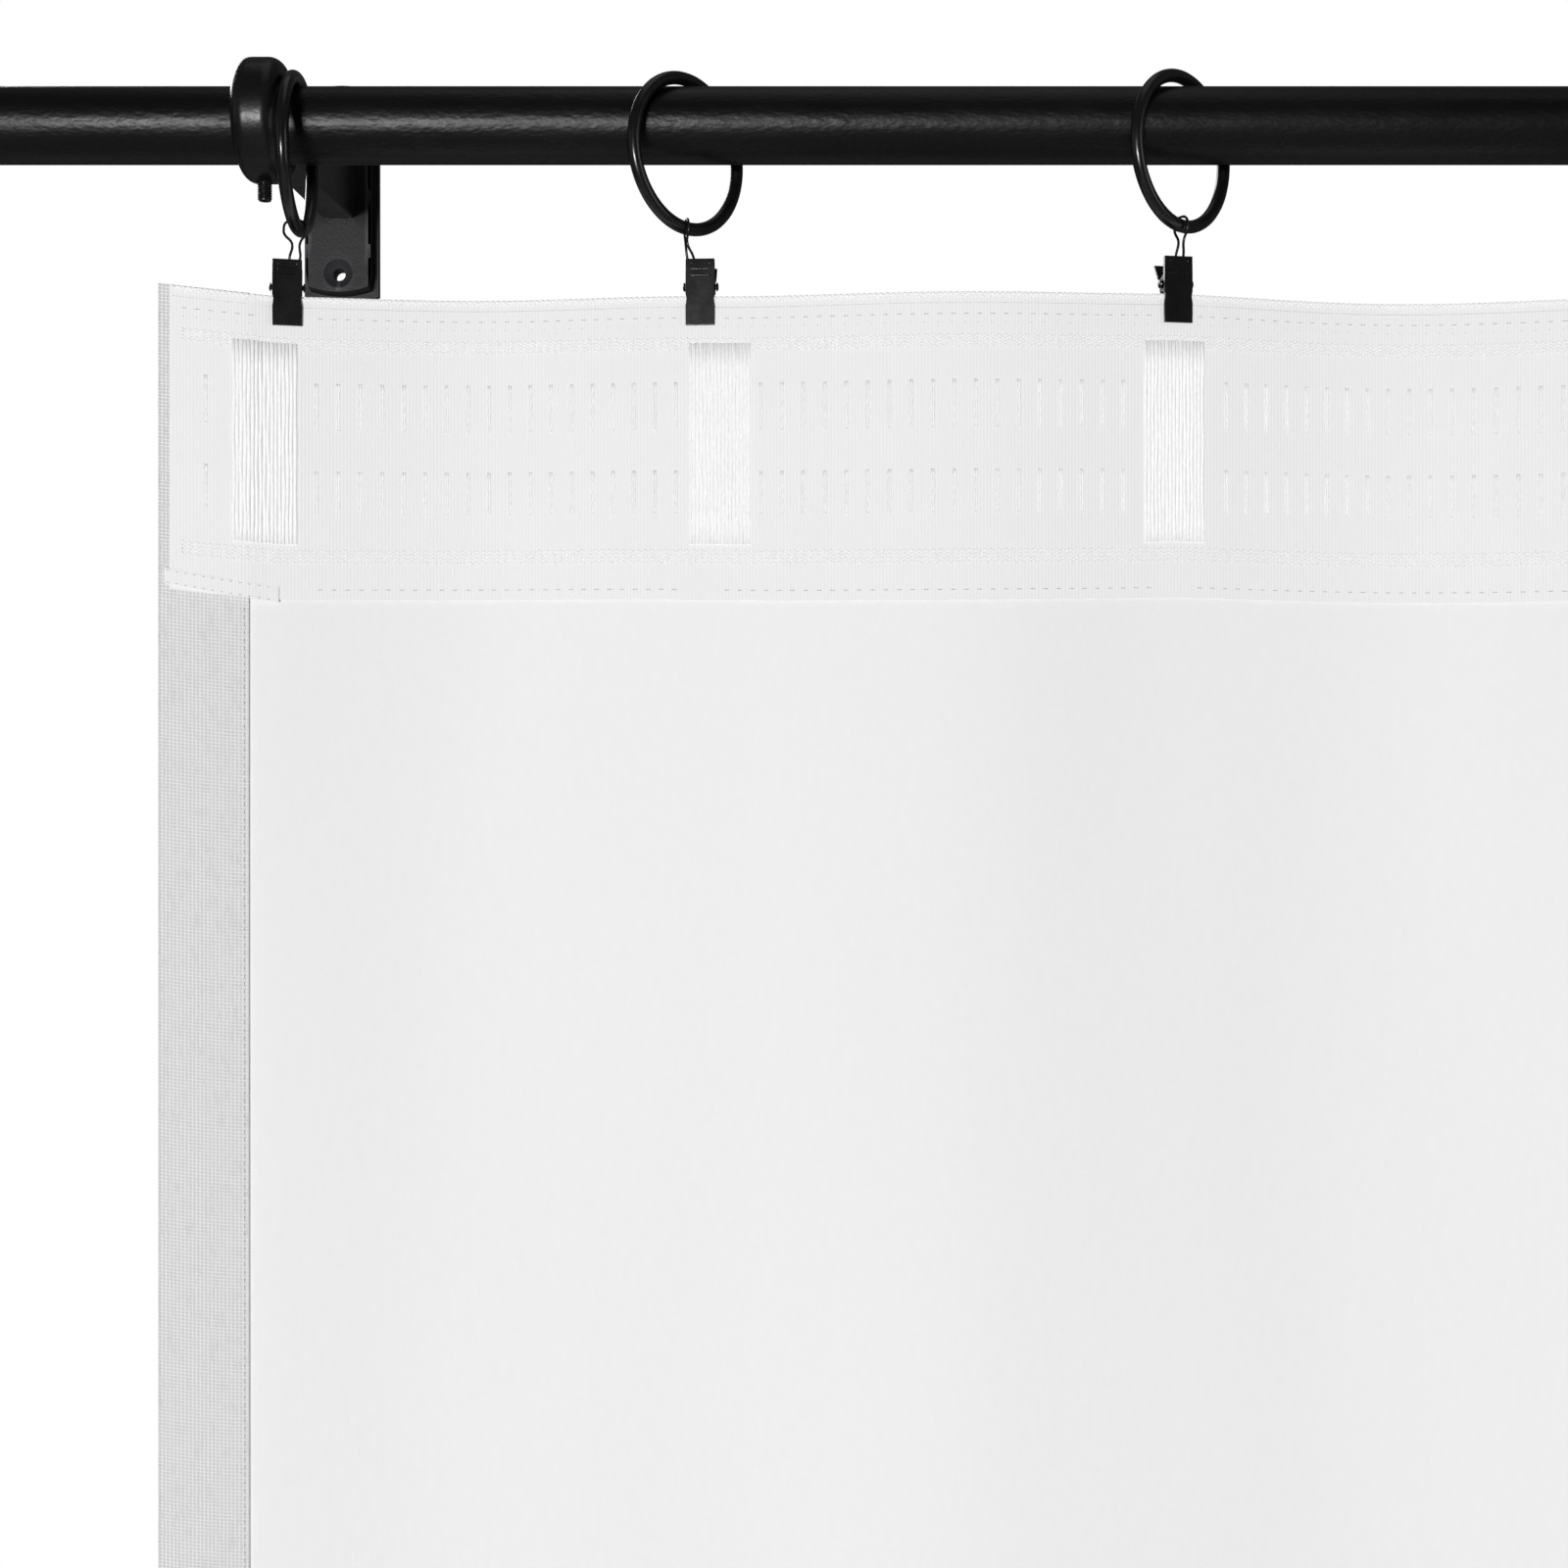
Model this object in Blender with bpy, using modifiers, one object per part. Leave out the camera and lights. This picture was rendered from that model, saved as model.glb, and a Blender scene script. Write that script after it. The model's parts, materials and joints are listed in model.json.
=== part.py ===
"""Window curtain hung by clip rings from a telescoping rod on two wall brackets.

Metres, +Z up. The origin is the centre of the left wall plate's back face. +X runs along
the rod to the right, +Y points into the wall, and the room is on the -Y side.
"""

import math

import bmesh
import bpy
import numpy as np
from mathutils import Matrix, Vector

# clearances
touch_gap = 0.0003      # between pieces that touch in use
slide_gap = 0.0004      # inner tube in outer tube, and ring over rod
cloth_gap = 0.0004      # cloth to the jaws that hold it
pin_gap = 0.0003        # clip pin in its ears
cut_past = 0.00005      # how far a countersink's cutter runs past the face

# rod
rod_reach = 0.130       # wall to rod axis
outer_radius = 0.0127
tube_wall = 0.0012
outer_left = -0.115     # end of the outer tube past the left bracket
outer_length = 1.341
inner_inside = 0.450    # length of inner tube still inside the outer one
inner_length = 0.589
inner_radius = outer_radius - tube_wall - slide_gap
outer_right = outer_left + outer_length
inner_left = outer_right - inner_inside
inner_right = inner_left + inner_length

# finials and the plugs that they screw into
plug_length = 0.016
plug_flange = 0.0022
stud_radius = 0.0030
stud_length = 0.012
finial_ball = 0.0190
finial_neck = 0.0095
finial_neck_foot = 0.0050   # neck's lower end above the knob's seat
finial_neck_top = 0.0070
finial_flange = 0.0150
finial_flange_height = 0.0040

# wall brackets
plate_width = 0.0293
plate_height = 0.0859
plate_thickness = 0.0032
plate_arc = 0.0028      # how far each end bows out
boss_margin = 0.0028
boss_height = 0.0070
screw_hole = 0.0024
screw_head = 0.00575
hole_offset = 0.03255
arm_width = 0.0126
arm_height = 0.0222
arm_nose_width = 0.0118
arm_nose_height = 0.0150
arm_edge = 0.0012       # bevel along the arm's long edges
arm_drop = 0.00965      # collar centre below the plate's centre
tenon_radius = 0.0045
tenon_length = 0.0060
collar_play = 0.0019    # collar bore over the outer tube
collar_wall = 0.0059
collar_width = 0.0155
collar_round = 0.0048   # rounding of the collar's outer corners
set_screw_radius = 0.00245
set_screw_length = 0.0122
set_screw_socket = 0.00125
set_screw_socket_depth = 0.0025
right_bracket_x = 1.247
collar_bore = outer_radius + collar_play

# rings
ring_radius = 0.0249    # to the wire's centre
ring_wire = 0.0022
ring_segments = 24

# clips: sizes are seen along the pin
clip_width = 0.0100
clip_above = 0.0087     # front plate above the pin
clip_below = 0.0130     # front plate below the pin
clip_sheet = 0.0008
ear_height = 0.0056
ear_past_pin = 0.0012   # how far the front jaw's ears run past the pin
rear_ear_past_pin = 0.0004
pin_radius = 0.0009
pin_head = 0.0015
pin_head_length = 0.0007
bail_wire = 0.00045
bail_room = 0.00057     # loop's clear room on each side of the most turned ring's wire
bail_drop = 0.0197      # ring wire's centre to the pin's axis
bail_neck = 0.0020      # half the loop's width where it enters the clip
bail_neck_rise = 0.0012 # neck above the front plate's top
bail_neck_lean = 0.55   # share of the ring's shift that the neck follows
bail_bow = 0.0018       # half the width of the bow that passes under the pin
lever_back = 0.0081
lever_clear = 0.0007    # extra room for the bail behind the pin when the clip opens
lever_up = 0.0078
grip_lip = 0.0012       # how far the grip's lower lip turns out
grip_hollow = 0.0006    # how far the strip stands off the cloth above the grip

# where the clips hang: an even pitch, and how far each was nudged along the rod
clip_pitch = 0.152
clip_nudge = (0.0, -0.0134, -0.0062, -0.0050, -0.0110, -0.0040, -0.0090, -0.0030, -0.0073)
clip_turn = (12, -3, 9, -8, 6, -10, 8, -6, 4)           # degrees about +Z
ring_shift = (0.0035, -0.0048, 0.0018, 0.0010, -0.0020, 0.0015, -0.0010, 0.0020, -0.0010)
# each ring's turn, as a share of the turn at which it would bind on the rod
ring_turn = (-0.02, 0.79, 0.87, 0.70, 0.55, 0.82, 0.64, 0.76, 0.45)

# curtain
cloth_left = -0.0344
cloth_past_last = 0.042
cloth_length = 2.134
cloth_below_pin = 0.0033    # cloth's top edge below the lowest clip pin
cloth_thickness = 0.0008
cloth_end_curl = 4.0    # how fast each free edge turns towards the wall, per metre
tape_thickness = 0.0005
tape_height = 0.1010
tape_inset = 0.0040
tape_below_top = 0.0005
wave_depth = (0.006, -0.007, 0.006, -0.007, 0.007, -0.006, 0.007, -0.006)

black_cast = (0.022, 0.022, 0.024, 1.0)
black_coat = (0.016, 0.016, 0.017, 1.0)
black_steel = (0.012, 0.012, 0.013, 1.0)
nylon_black = (0.030, 0.030, 0.030, 1.0)
off_white = (0.86, 0.85, 0.82, 1.0)
tape_white = (0.90, 0.89, 0.87, 1.0)

rod_y = -rod_reach
left_rise = collar_bore - outer_radius - touch_gap
right_rise = collar_bore - inner_radius - touch_gap
rod_z = -arm_drop - left_rise
along_rod = (0.0, math.pi / 2, 0.0)     # turns a +Z axis to +X


def clear_scene():
    for thing in list(bpy.data.objects):
        bpy.data.objects.remove(thing, do_unlink=True)


def make_collection(name):
    collection = bpy.data.collections.new(name)
    bpy.context.scene.collection.children.link(collection)
    return collection


def make_material(name, colour, roughness, metallic):
    found = bpy.data.materials.new(name)
    found.use_nodes = True
    shader = found.node_tree.nodes["Principled BSDF"]
    shader.inputs["Base Color"].default_value = colour
    shader.inputs["Roughness"].default_value = roughness
    shader.inputs["Metallic"].default_value = metallic
    found.diffuse_color = colour
    return found


def place(name, mesh, collection, look, location=(0, 0, 0), rotation=(0, 0, 0)):
    thing = bpy.data.objects.new(name, mesh)
    if look:
        mesh.materials.clear()
        mesh.materials.append(look)
    collection.objects.link(thing)
    thing.location = location
    thing.rotation_euler = rotation
    return thing


def from_bmesh(bm, name):
    mesh = bpy.data.meshes.new(name)
    bmesh.ops.recalc_face_normals(bm, faces=bm.faces)
    bm.to_mesh(mesh)
    bm.free()
    return mesh


def smooth(thing):
    thing.data.shade_smooth()
    thing.data.set_sharp_from_angle(angle=math.radians(35))


def box_mesh(name, low, high):
    bm = bmesh.new()
    bmesh.ops.create_cube(bm, size=1.0)
    low, high = Vector(low), Vector(high)
    for v in bm.verts:
        v.co = [low[k] + (v.co[k] + 0.5) * (high[k] - low[k]) for k in range(3)]
    return from_bmesh(bm, name)


def rod_mesh(name, radius, length, segments, end_radius=None):
    """A cylinder or cone along Z, centred on its origin."""
    bm = bmesh.new()
    bmesh.ops.create_cone(
        bm,
        cap_ends=True,
        segments=segments,
        radius1=radius,
        radius2=radius if end_radius is None else end_radius,
        depth=length,
    )
    return from_bmesh(bm, name)


def turned(name, profile, closed, segments, look, location, rotation=along_rod):
    """A turned piece: profile is (radius, height) points, down the outer side."""
    mesh = bpy.data.meshes.new(name)
    count = len(profile)
    edges = [(n, n + 1) for n in range(count - 1)]
    if closed:
        edges.append((count - 1, 0))
    mesh.from_pydata([(r, 0.0, h) for r, h in profile], edges, [])
    thing = place(name, mesh, parts, look, location, rotation)
    screw = thing.modifiers.new("turn", "SCREW")
    screw.steps = segments
    screw.render_steps = segments
    screw.use_merge_vertices = True
    screw.merge_threshold = 0.00001
    return thing


def boolean(thing, other, operation):
    cut = thing.modifiers.new(other.name, "BOOLEAN")
    cut.operation = operation
    cut.object = other
    cut.solver = "EXACT"


def cutter(name, mesh, location=(0, 0, 0), rotation=(0, 0, 0)):
    thing = place(name, mesh, cutters, None, location, rotation)
    thing.hide_render = True
    thing.display_type = "WIRE"
    return thing


def evaluated_mesh(thing, name):
    """The object's mesh with its modifiers applied; the object itself is removed."""
    bpy.context.view_layer.update()
    graph = bpy.context.evaluated_depsgraph_get()
    mesh = bpy.data.meshes.new_from_object(thing.evaluated_get(graph))
    mesh.name = name
    bpy.data.objects.remove(thing, do_unlink=True)
    return mesh


def make_rod():
    bore = inner_radius + slide_gap
    half = outer_length / 2
    profile = [(outer_radius, half), (outer_radius, -half), (bore, -half), (bore, half)]
    where = (outer_left + half, rod_y, rod_z)
    smooth(turned("rod_outer_tube", profile, True, 40, coat, where))
    inner_bore = inner_radius - tube_wall
    half = inner_length / 2
    profile = [(inner_radius, half), (inner_radius, -half), (inner_bore, -half), (inner_bore, half)]
    where = (inner_left + half, rod_y, rod_z)
    smooth(turned("rod_inner_tube", profile, True, 40, coat, where))


def make_finial(side, end_x, tube_radius, tube_bore, outward):
    """A plug that closes the tube and the knob whose stud screws into it."""
    body = tube_bore - touch_gap
    hole = stud_radius + touch_gap
    turn = (0.0, outward * math.pi / 2, 0.0)    # local +Z points out of the tube
    flange_top = touch_gap + plug_flange
    profile = [
        (tube_radius, flange_top),
        (tube_radius, touch_gap),
        (body, touch_gap),
        (body, -plug_length),
        (hole, -plug_length),
        (hole, flange_top),
    ]
    where = (end_x, rod_y, rod_z)
    smooth(turned("finial_plug_" + side, profile, True, 24, nylon, where, turn))
    base = flange_top + touch_gap
    centre = base + finial_neck_top + math.sqrt(finial_ball**2 - finial_neck**2)
    start = math.acos(finial_neck / finial_ball)
    bands = 9
    ball = []
    for n in range(bands):
        angle = math.pi / 2 - (math.pi / 2 + start) * n / (bands - 1)
        ball.append((finial_ball * math.cos(angle), centre + finial_ball * math.sin(angle)))
    ball[0] = (0.0, ball[0][1])
    profile = ball + [
        (finial_neck, base + finial_neck_foot),
        (finial_flange, base + finial_flange_height),
        (finial_flange, base),
        (stud_radius, base),
        (stud_radius, base - stud_length),
        (0.0, base - stud_length),
    ]
    smooth(turned("finial_" + side, profile, False, 24, coat, where, turn))


def arc_ended_outline(width, height, bow, segments=8):
    """Points round a plate whose ends bow out by a shallow arc, in X and Z."""
    radius = ((width / 2) ** 2 + bow**2) / (2 * bow)
    sweep = math.asin(width / 2 / radius)
    points = []
    for sign in (1, -1):
        centre = sign * (height / 2 - radius)
        for n in range(segments + 1):
            angle = sweep - 2 * sweep * n / segments
            points.append((sign * radius * math.sin(angle), centre + sign * radius * math.cos(angle)))
    return points


def slab_mesh(name, outline, front, back):
    """An outline in X and Z, extruded from y = front to y = back."""
    bm = bmesh.new()
    verts = [bm.verts.new((x, back, z)) for x, z in outline]
    face = bm.faces.new(verts)
    made = bmesh.ops.extrude_face_region(bm, geom=[face])["geom"]
    moved = [v for v in made if isinstance(v, bmesh.types.BMVert)]
    bmesh.ops.translate(bm, verts=moved, vec=(0, front - back, 0))
    return from_bmesh(bm, name)


def make_wall_plate(side, x, z):
    name = "wall_plate_" + side
    outline = arc_ended_outline(plate_width, plate_height, plate_arc)
    plate = place(name, slab_mesh(name, outline, -plate_thickness, 0.0), parts, cast, (x, 0, z))
    boss_face = -plate_thickness - boss_height
    outline = arc_ended_outline(
        plate_width - 2 * boss_margin, plate_height - 2 * boss_margin, plate_arc
    )
    mesh = slab_mesh(name + "_boss", outline, boss_face, -plate_thickness / 2)
    boolean(plate, cutter(name + "_boss", mesh, (x, 0, z)), "UNION")
    facing = (math.pi / 2, 0, 0)
    for sign, which in ((1, "upper"), (-1, "lower")):
        height = z + sign * hole_offset
        through = rod_mesh(name + which, screw_hole, 4 * (boss_height + plate_thickness), 16)
        boolean(plate, cutter(name + "_hole_" + which, through, (x, 0, height), facing), "DIFFERENCE")
        sink = rod_mesh(name + which + "_sink", screw_hole, boss_height, 20, screw_head)
        where = (x, boss_face + boss_height / 2 - cut_past, height)
        boolean(plate, cutter(name + "_sink_" + which, sink, where, facing), "DIFFERENCE")
    socket = rod_mesh(name + "_socket", tenon_radius + touch_gap, 2 * (tenon_length + touch_gap), 20)
    boolean(plate, cutter(name + "_socket", socket, (x, boss_face, z), facing), "DIFFERENCE")
    smooth(plate)


def collar_profile():
    """Half section of the collar ring: a rounded outside and a plain bore."""
    outside = collar_bore + collar_wall
    half = collar_width / 2
    round_off = min(collar_round, collar_wall * 0.8, half * 0.6)
    points = []
    for corner in (1, -1):
        for n in range(4):
            angle = math.radians(90 - 30 * n) if corner == 1 else math.radians(-30 * n)
            points.append((
                outside - round_off + round_off * math.cos(angle),
                corner * (half - round_off) + round_off * math.sin(angle),
            ))
    points += [(collar_bore, -half), (collar_bore, half)]
    return points


def make_arm(side, x, plate_z, tube_radius):
    """The arm, its collar round the rod, and the tenon that holds it in the wall plate."""
    collar_z = plate_z - arm_drop
    name = "bracket_arm_" + side
    arm = turned(name, collar_profile(), True, 32, cast, (x, rod_y, collar_z))
    back = -plate_thickness - boss_height - touch_gap
    nose = rod_y + collar_bore + collar_wall / 2
    bm = bmesh.new()
    bmesh.ops.create_cube(bm, size=1.0)
    for v in bm.verts:
        at_wall = v.co.y > 0
        width = arm_width if at_wall else arm_nose_width
        height = arm_height if at_wall else arm_nose_height
        middle = plate_z if at_wall else collar_z
        v.co = (v.co.x * width, back if at_wall else nose, middle + v.co.z * height)
    bmesh.ops.bevel(
        bm, geom=[e for e in bm.edges if abs(e.verts[0].co.y - e.verts[1].co.y) > rod_reach / 4],
        offset=arm_edge, segments=1, affect="EDGES",
    )
    boolean(arm, cutter(name + "_bar", from_bmesh(bm, name + "_bar"), (x, 0, 0)), "UNION")
    tenon = rod_mesh(name + "_tenon", tenon_radius, 2 * tenon_length, 20)
    facing = (math.pi / 2, 0, 0)
    boolean(arm, cutter(name + "_tenon", tenon, (x, back, plate_z), facing), "UNION")
    hole = rod_mesh(name + "_hole", set_screw_radius + touch_gap, 4 * collar_wall, 16)
    where = (x, rod_y, collar_z - collar_bore - collar_wall / 2)
    boolean(arm, cutter(name + "_hole", hole, where), "DIFFERENCE")
    smooth(arm)
    top = rod_z - tube_radius - touch_gap
    screw = place(
        "set_screw_" + side,
        rod_mesh("set_screw_" + side, set_screw_radius, set_screw_length, 16),
        parts, steel, (x, rod_y, top - set_screw_length / 2),
    )
    socket = rod_mesh("socket_" + side, set_screw_socket, 2 * set_screw_socket_depth, 6)
    where = (x, rod_y, top - set_screw_length)
    boolean(screw, cutter("set_screw_socket_" + side, socket, where), "DIFFERENCE")
    smooth(screw)


def binding_turn():
    return math.acos((outer_radius + ring_wire + slide_gap) / ring_radius)


def bail_half():
    """Half the loop's clear width: a turned ring's wire crosses it at a slant."""
    steepest = max(abs(share) for share in ring_turn) * binding_turn()
    return ring_wire / math.cos(steepest) + bail_room


def ring_height(turn):
    """Height of a ring's centre over the rod's axis when it hangs turned by this angle."""
    reach = outer_radius + ring_wire + slide_gap
    lowest = reach - ring_radius
    side_on = math.sin(turn) ** 2
    if abs(lowest) < ring_radius * side_on:
        return -math.sqrt(side_on * (ring_radius**2 - (reach / math.cos(turn)) ** 2))
    return lowest


def clip_x(n):
    """The first ring leans on the left collar, and the rest follow from its clip."""
    lean = ring_radius * math.sin(abs(ring_turn[0] * binding_turn()))
    first_ring = collar_width / 2 + ring_wire + lean + 2 * touch_gap
    return first_ring - ring_shift[0] + n * clip_pitch + clip_nudge[n]


def clip_frame(n):
    """(x, pin height, turn of the clip, ring's turn, ring's centre height) of hanger n."""
    turn = ring_turn[n] * binding_turn()
    height = rod_z + ring_height(turn)
    pin_height = height - ring_radius - bail_drop
    return clip_x(n), pin_height, math.radians(clip_turn[n]), turn, height


def front_reach():
    """Pin axis to the inner face of the front plate: room for the bail's wire."""
    return pin_radius + 2 * bail_wire + 2 * pin_gap


def cloth_line():
    """Middle of the main cloth, in the clip's own frame, from front plate to rear jaw."""
    tape_middle = -front_reach() + cloth_gap + tape_thickness / 2
    cloth_middle = tape_middle + tape_thickness / 2 + touch_gap + cloth_thickness / 2
    return tape_middle, cloth_middle


def cloth_y(x):
    """Plan shape of the hanging cloth at x: flat at each clip, bowed between clips."""
    last = len(clip_nudge) - 1
    n = 0
    while n < last - 1 and x > clip_x(n + 1):
        n += 1
    start, end = clip_x(n), clip_x(n + 1)
    slope_a = math.tan(math.radians(clip_turn[n]))
    slope_b = math.tan(math.radians(clip_turn[n + 1]))
    if x <= start:
        return slope_a * (x - start) + cloth_end_curl * (x - start) ** 2
    if x >= end:
        return slope_b * (x - end) + cloth_end_curl * (x - end) ** 2
    span = end - start
    s = (x - start) / span
    straight = span * (slope_a * s * (1 - s) ** 2 - slope_b * s * s * (1 - s))
    return straight + wave_depth[n] * (1 - math.cos(2 * math.pi * s)) / 2


def cloth_stations():
    """Where along the rod the cloth has its upright edges: close together at each clip."""
    count = len(clip_nudge)
    grip = clip_width * 0.6
    stations = [cloth_left, (cloth_left + clip_x(0)) / 2]
    for n in range(count):
        stations += [clip_x(n) - grip, clip_x(n) + grip]
        if n < count - 1:
            room = clip_x(n + 1) - clip_x(n) - 2 * grip
            stations += [clip_x(n) + grip + room * k / 6 for k in range(1, 6)]
    last = clip_x(count - 1)
    return stations + [last + cloth_past_last / 2, last + cloth_past_last]


def make_cloth(name, inset, top, height, offset, thickness, look):
    stations = cloth_stations()
    shape = [cloth_y(x) for x in stations]
    low, high = stations[0] + inset, stations[-1] - inset
    across = [min(max(x, low), high) for x in stations]
    bm = bmesh.new()
    bmesh.ops.create_grid(bm, x_segments=len(stations) - 1, y_segments=2, size=0.5)
    for v in bm.verts:
        x = across[round((v.co.x + 0.5) * (len(stations) - 1))]
        y = rod_y + float(np.interp(x, stations, shape)) + offset
        v.co = (x, y, top - height * (0.5 - v.co.y))
    mesh = from_bmesh(bm, name)
    cloth = place(name, mesh, parts, look)
    solid = cloth.modifiers.new("thickness", "SOLIDIFY")
    solid.thickness = thickness
    solid.offset = 0.0
    smooth(cloth)


def make_curtain():
    tape_middle, cloth_middle = cloth_line()
    top = min(clip_frame(n)[1] for n in range(len(clip_nudge))) - cloth_below_pin
    make_cloth("curtain_panel", 0.0, top, cloth_length, cloth_middle, cloth_thickness, linen)
    make_cloth("heading_tape", tape_inset, top - tape_below_top, tape_height, tape_middle,
               tape_thickness, tape)


def make_ring(n):
    x, _, _, turn, height = clip_frame(n)
    bpy.ops.mesh.primitive_torus_add(
        major_segments=ring_segments,
        minor_segments=8,
        major_radius=ring_radius,
        minor_radius=ring_wire,
        location=(x + ring_shift[n], rod_y, height),
        rotation=(0.0, math.pi / 2, -turn),
    )
    ring = bpy.context.active_object
    name = "ring_%d" % (n + 1)
    ring.name = name
    ring.data.name = name
    ring.data.materials.append(steel)
    for collection in list(ring.users_collection):
        collection.objects.unlink(ring)
    parts.objects.link(ring)
    smooth(ring)


def make_bail(n):
    """The wire loop that hangs from the ring and passes under the clip's pin."""
    x, pin_height, turn, _, _ = clip_frame(n)
    loop = bail_half() + bail_wire
    rise = ring_wire + touch_gap + bail_wire
    around = pin_radius + pin_gap + bail_wire
    shift = ring_shift[n]
    crown = []
    for step in range(7):
        across, up = math.cos(math.radians(30 * step)), math.sin(math.radians(30 * step))
        across = math.copysign(abs(across) ** (2 / 3), across)
        crown.append(Vector((shift + loop * across, 0.0, bail_drop + rise * abs(up) ** (2 / 3))))
    under = bail_drop - ring_wire - 2 * touch_gap
    crown.insert(0, Vector((shift + loop, 0.0, under)))
    crown.append(Vector((shift - loop, 0.0, under)))
    lean = shift * bail_neck_lean
    neck_height = clip_above + bail_neck_rise
    waist = [Vector((lean + side * bail_neck, 0.0, neck_height)) for side in (-1, 1)]
    spin = Matrix.Rotation(turn, 3, "Z")
    bow = []
    for side, y, z in ((-1.0, around, 0.0), (-0.6, 0.75 * around, -0.75 * around),
                       (0.0, 0.0, -around * 1.05), (0.6, -0.75 * around, -0.75 * around),
                       (1.0, -around, 0.0)):
        bow.append(spin @ Vector((side * bail_bow, y, z)))
    points = crown + [waist[0]] + bow + [waist[1]]
    name = "bail_%d" % (n + 1)
    curve = bpy.data.curves.new(name, "CURVE")
    curve.dimensions = "3D"
    curve.bevel_depth = bail_wire
    curve.bevel_resolution = 2
    spline = curve.splines.new("POLY")
    spline.points.add(len(points) - 1)
    for point, where in zip(spline.points, points):
        point.co = (*where, 1.0)
    spline.use_cyclic_u = True
    wire = bpy.data.objects.new(name, curve)
    curve.materials.append(steel)
    parts.objects.link(wire)
    wire.location = (x, rod_y, pin_height)


def ear_pair(name, inner, sheet, y_low, y_high, height):
    """The two ears that a pin passes through, as cutters to be joined on."""
    ears = []
    for sign in (1, -1):
        near, far = sorted((sign * inner, sign * (inner + sheet)))
        mesh = box_mesh(name, (near, y_low, -height / 2), (far, y_high, height / 2))
        ears.append(cutter("%s_ear_%d" % (name, sign), mesh))
    return ears


def front_jaw_mesh():
    """A flat plate with two ears folded back to the pin."""
    inner_face = -front_reach()
    half = clip_width / 2
    plate = place("front_jaw", box_mesh(
        "front_jaw", (-half, inner_face - clip_sheet, -clip_below), (half, inner_face, clip_above)
    ), parts, steel)
    for ear in ear_pair("front_jaw", half - clip_sheet, clip_sheet,
                        inner_face - clip_sheet / 2, pin_radius + ear_past_pin, ear_height):
        boolean(plate, ear, "UNION")
    hole = rod_mesh("front_jaw_hole", pin_radius + pin_gap, 2 * clip_width, 12)
    boolean(plate, cutter("front_jaw_hole", hole, rotation=along_rod), "DIFFERENCE")
    return evaluated_mesh(plate, "front_jaw")


def rear_jaw_mesh():
    """A bent strip: grip at the bottom, a thumb lever above, ears forward to the pin."""
    _, cloth_middle = cloth_line()
    grip = cloth_middle + cloth_thickness / 2 + cloth_gap + clip_sheet / 2
    back = front_reach() + clip_sheet / 2 + pin_gap + lever_clear
    bend = ear_height * 0.45
    line = [
        (grip + grip_lip, -clip_below + touch_gap),
        (grip, -clip_below + grip_lip),
        (grip + grip_hollow, -clip_below * 0.55),
        (back, -clip_below * 0.24),
        (back, bend),
        (back + (lever_back - back) * 0.5, bend + (lever_up - bend) * 0.45),
        (lever_back, lever_up),
    ]
    half = clip_width / 2 - clip_sheet - touch_gap
    bm = bmesh.new()
    rows = [[bm.verts.new((side * half, y, z)) for side in (-1, 1)] for y, z in line]
    for low, high in zip(rows, rows[1:]):
        bm.faces.new((low[0], low[1], high[1], high[0]))
    jaw = place("rear_jaw", from_bmesh(bm, "rear_jaw"), parts, steel)
    solid = jaw.modifiers.new("sheet", "SOLIDIFY")
    solid.thickness = clip_sheet
    solid.offset = 0.0
    for ear in ear_pair("rear_jaw", half - clip_sheet, clip_sheet,
                        -pin_radius - rear_ear_past_pin, back, ear_height * 0.8):
        boolean(jaw, ear, "UNION")
    hole = rod_mesh("rear_jaw_hole", pin_radius + pin_gap, 2 * clip_width, 12)
    boolean(jaw, cutter("rear_jaw_hole", hole, rotation=along_rod), "DIFFERENCE")
    return evaluated_mesh(jaw, "rear_jaw")


def make_clip(n, front, rear):
    x, pin_height, turn, _, _ = clip_frame(n)
    where = (x, rod_y, pin_height)
    place("front_jaw_%d" % (n + 1), front, parts, steel, where, (0, 0, turn))
    place("rear_jaw_%d" % (n + 1), rear, parts, steel, where, (0, 0, turn))
    half = clip_width / 2 + touch_gap
    profile = [
        (0.0, half + pin_head_length),
        (pin_head, half + pin_head_length),
        (pin_head, half),
        (pin_radius, half),
        (pin_radius, -half),
        (pin_head, -half),
        (pin_head, -half - pin_head_length),
        (0.0, -half - pin_head_length),
    ]
    pin = turned("clip_pin_%d" % (n + 1), profile, False, 12, steel, where, (0, math.pi / 2, turn))
    smooth(pin)


clear_scene()
parts = make_collection("curtain_on_rod")
cutters = make_collection("cutters")
coat = make_material("powder_coat", black_coat, 0.45, 0.0)
cast = make_material("cast_black", black_cast, 0.55, 0.0)
steel = make_material("black_steel", black_steel, 0.35, 0.3)
nylon = make_material("nylon", nylon_black, 0.5, 0.0)
linen = make_material("curtain_cloth", off_white, 0.9, 0.0)
tape = make_material("heading_tape", tape_white, 0.9, 0.0)

make_rod()
make_finial("left", outer_left, outer_radius, inner_radius + slide_gap, -1)
make_finial("right", inner_right, inner_radius, inner_radius - tube_wall, 1)
make_wall_plate("left", 0.0, 0.0)
make_arm("left", 0.0, 0.0, outer_radius)
right_plate_z = rod_z + right_rise + arm_drop
make_wall_plate("right", right_bracket_x, right_plate_z)
make_arm("right", right_bracket_x, right_plate_z, inner_radius)
make_curtain()
front_jaw = front_jaw_mesh()
rear_jaw = rear_jaw_mesh()
for hanger in range(len(clip_nudge)):
    make_ring(hanger)
    make_bail(hanger)
    make_clip(hanger, front_jaw, rear_jaw)
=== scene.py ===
import json
import math

import bpy
import numpy as np
from mathutils import Matrix, Vector

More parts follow.
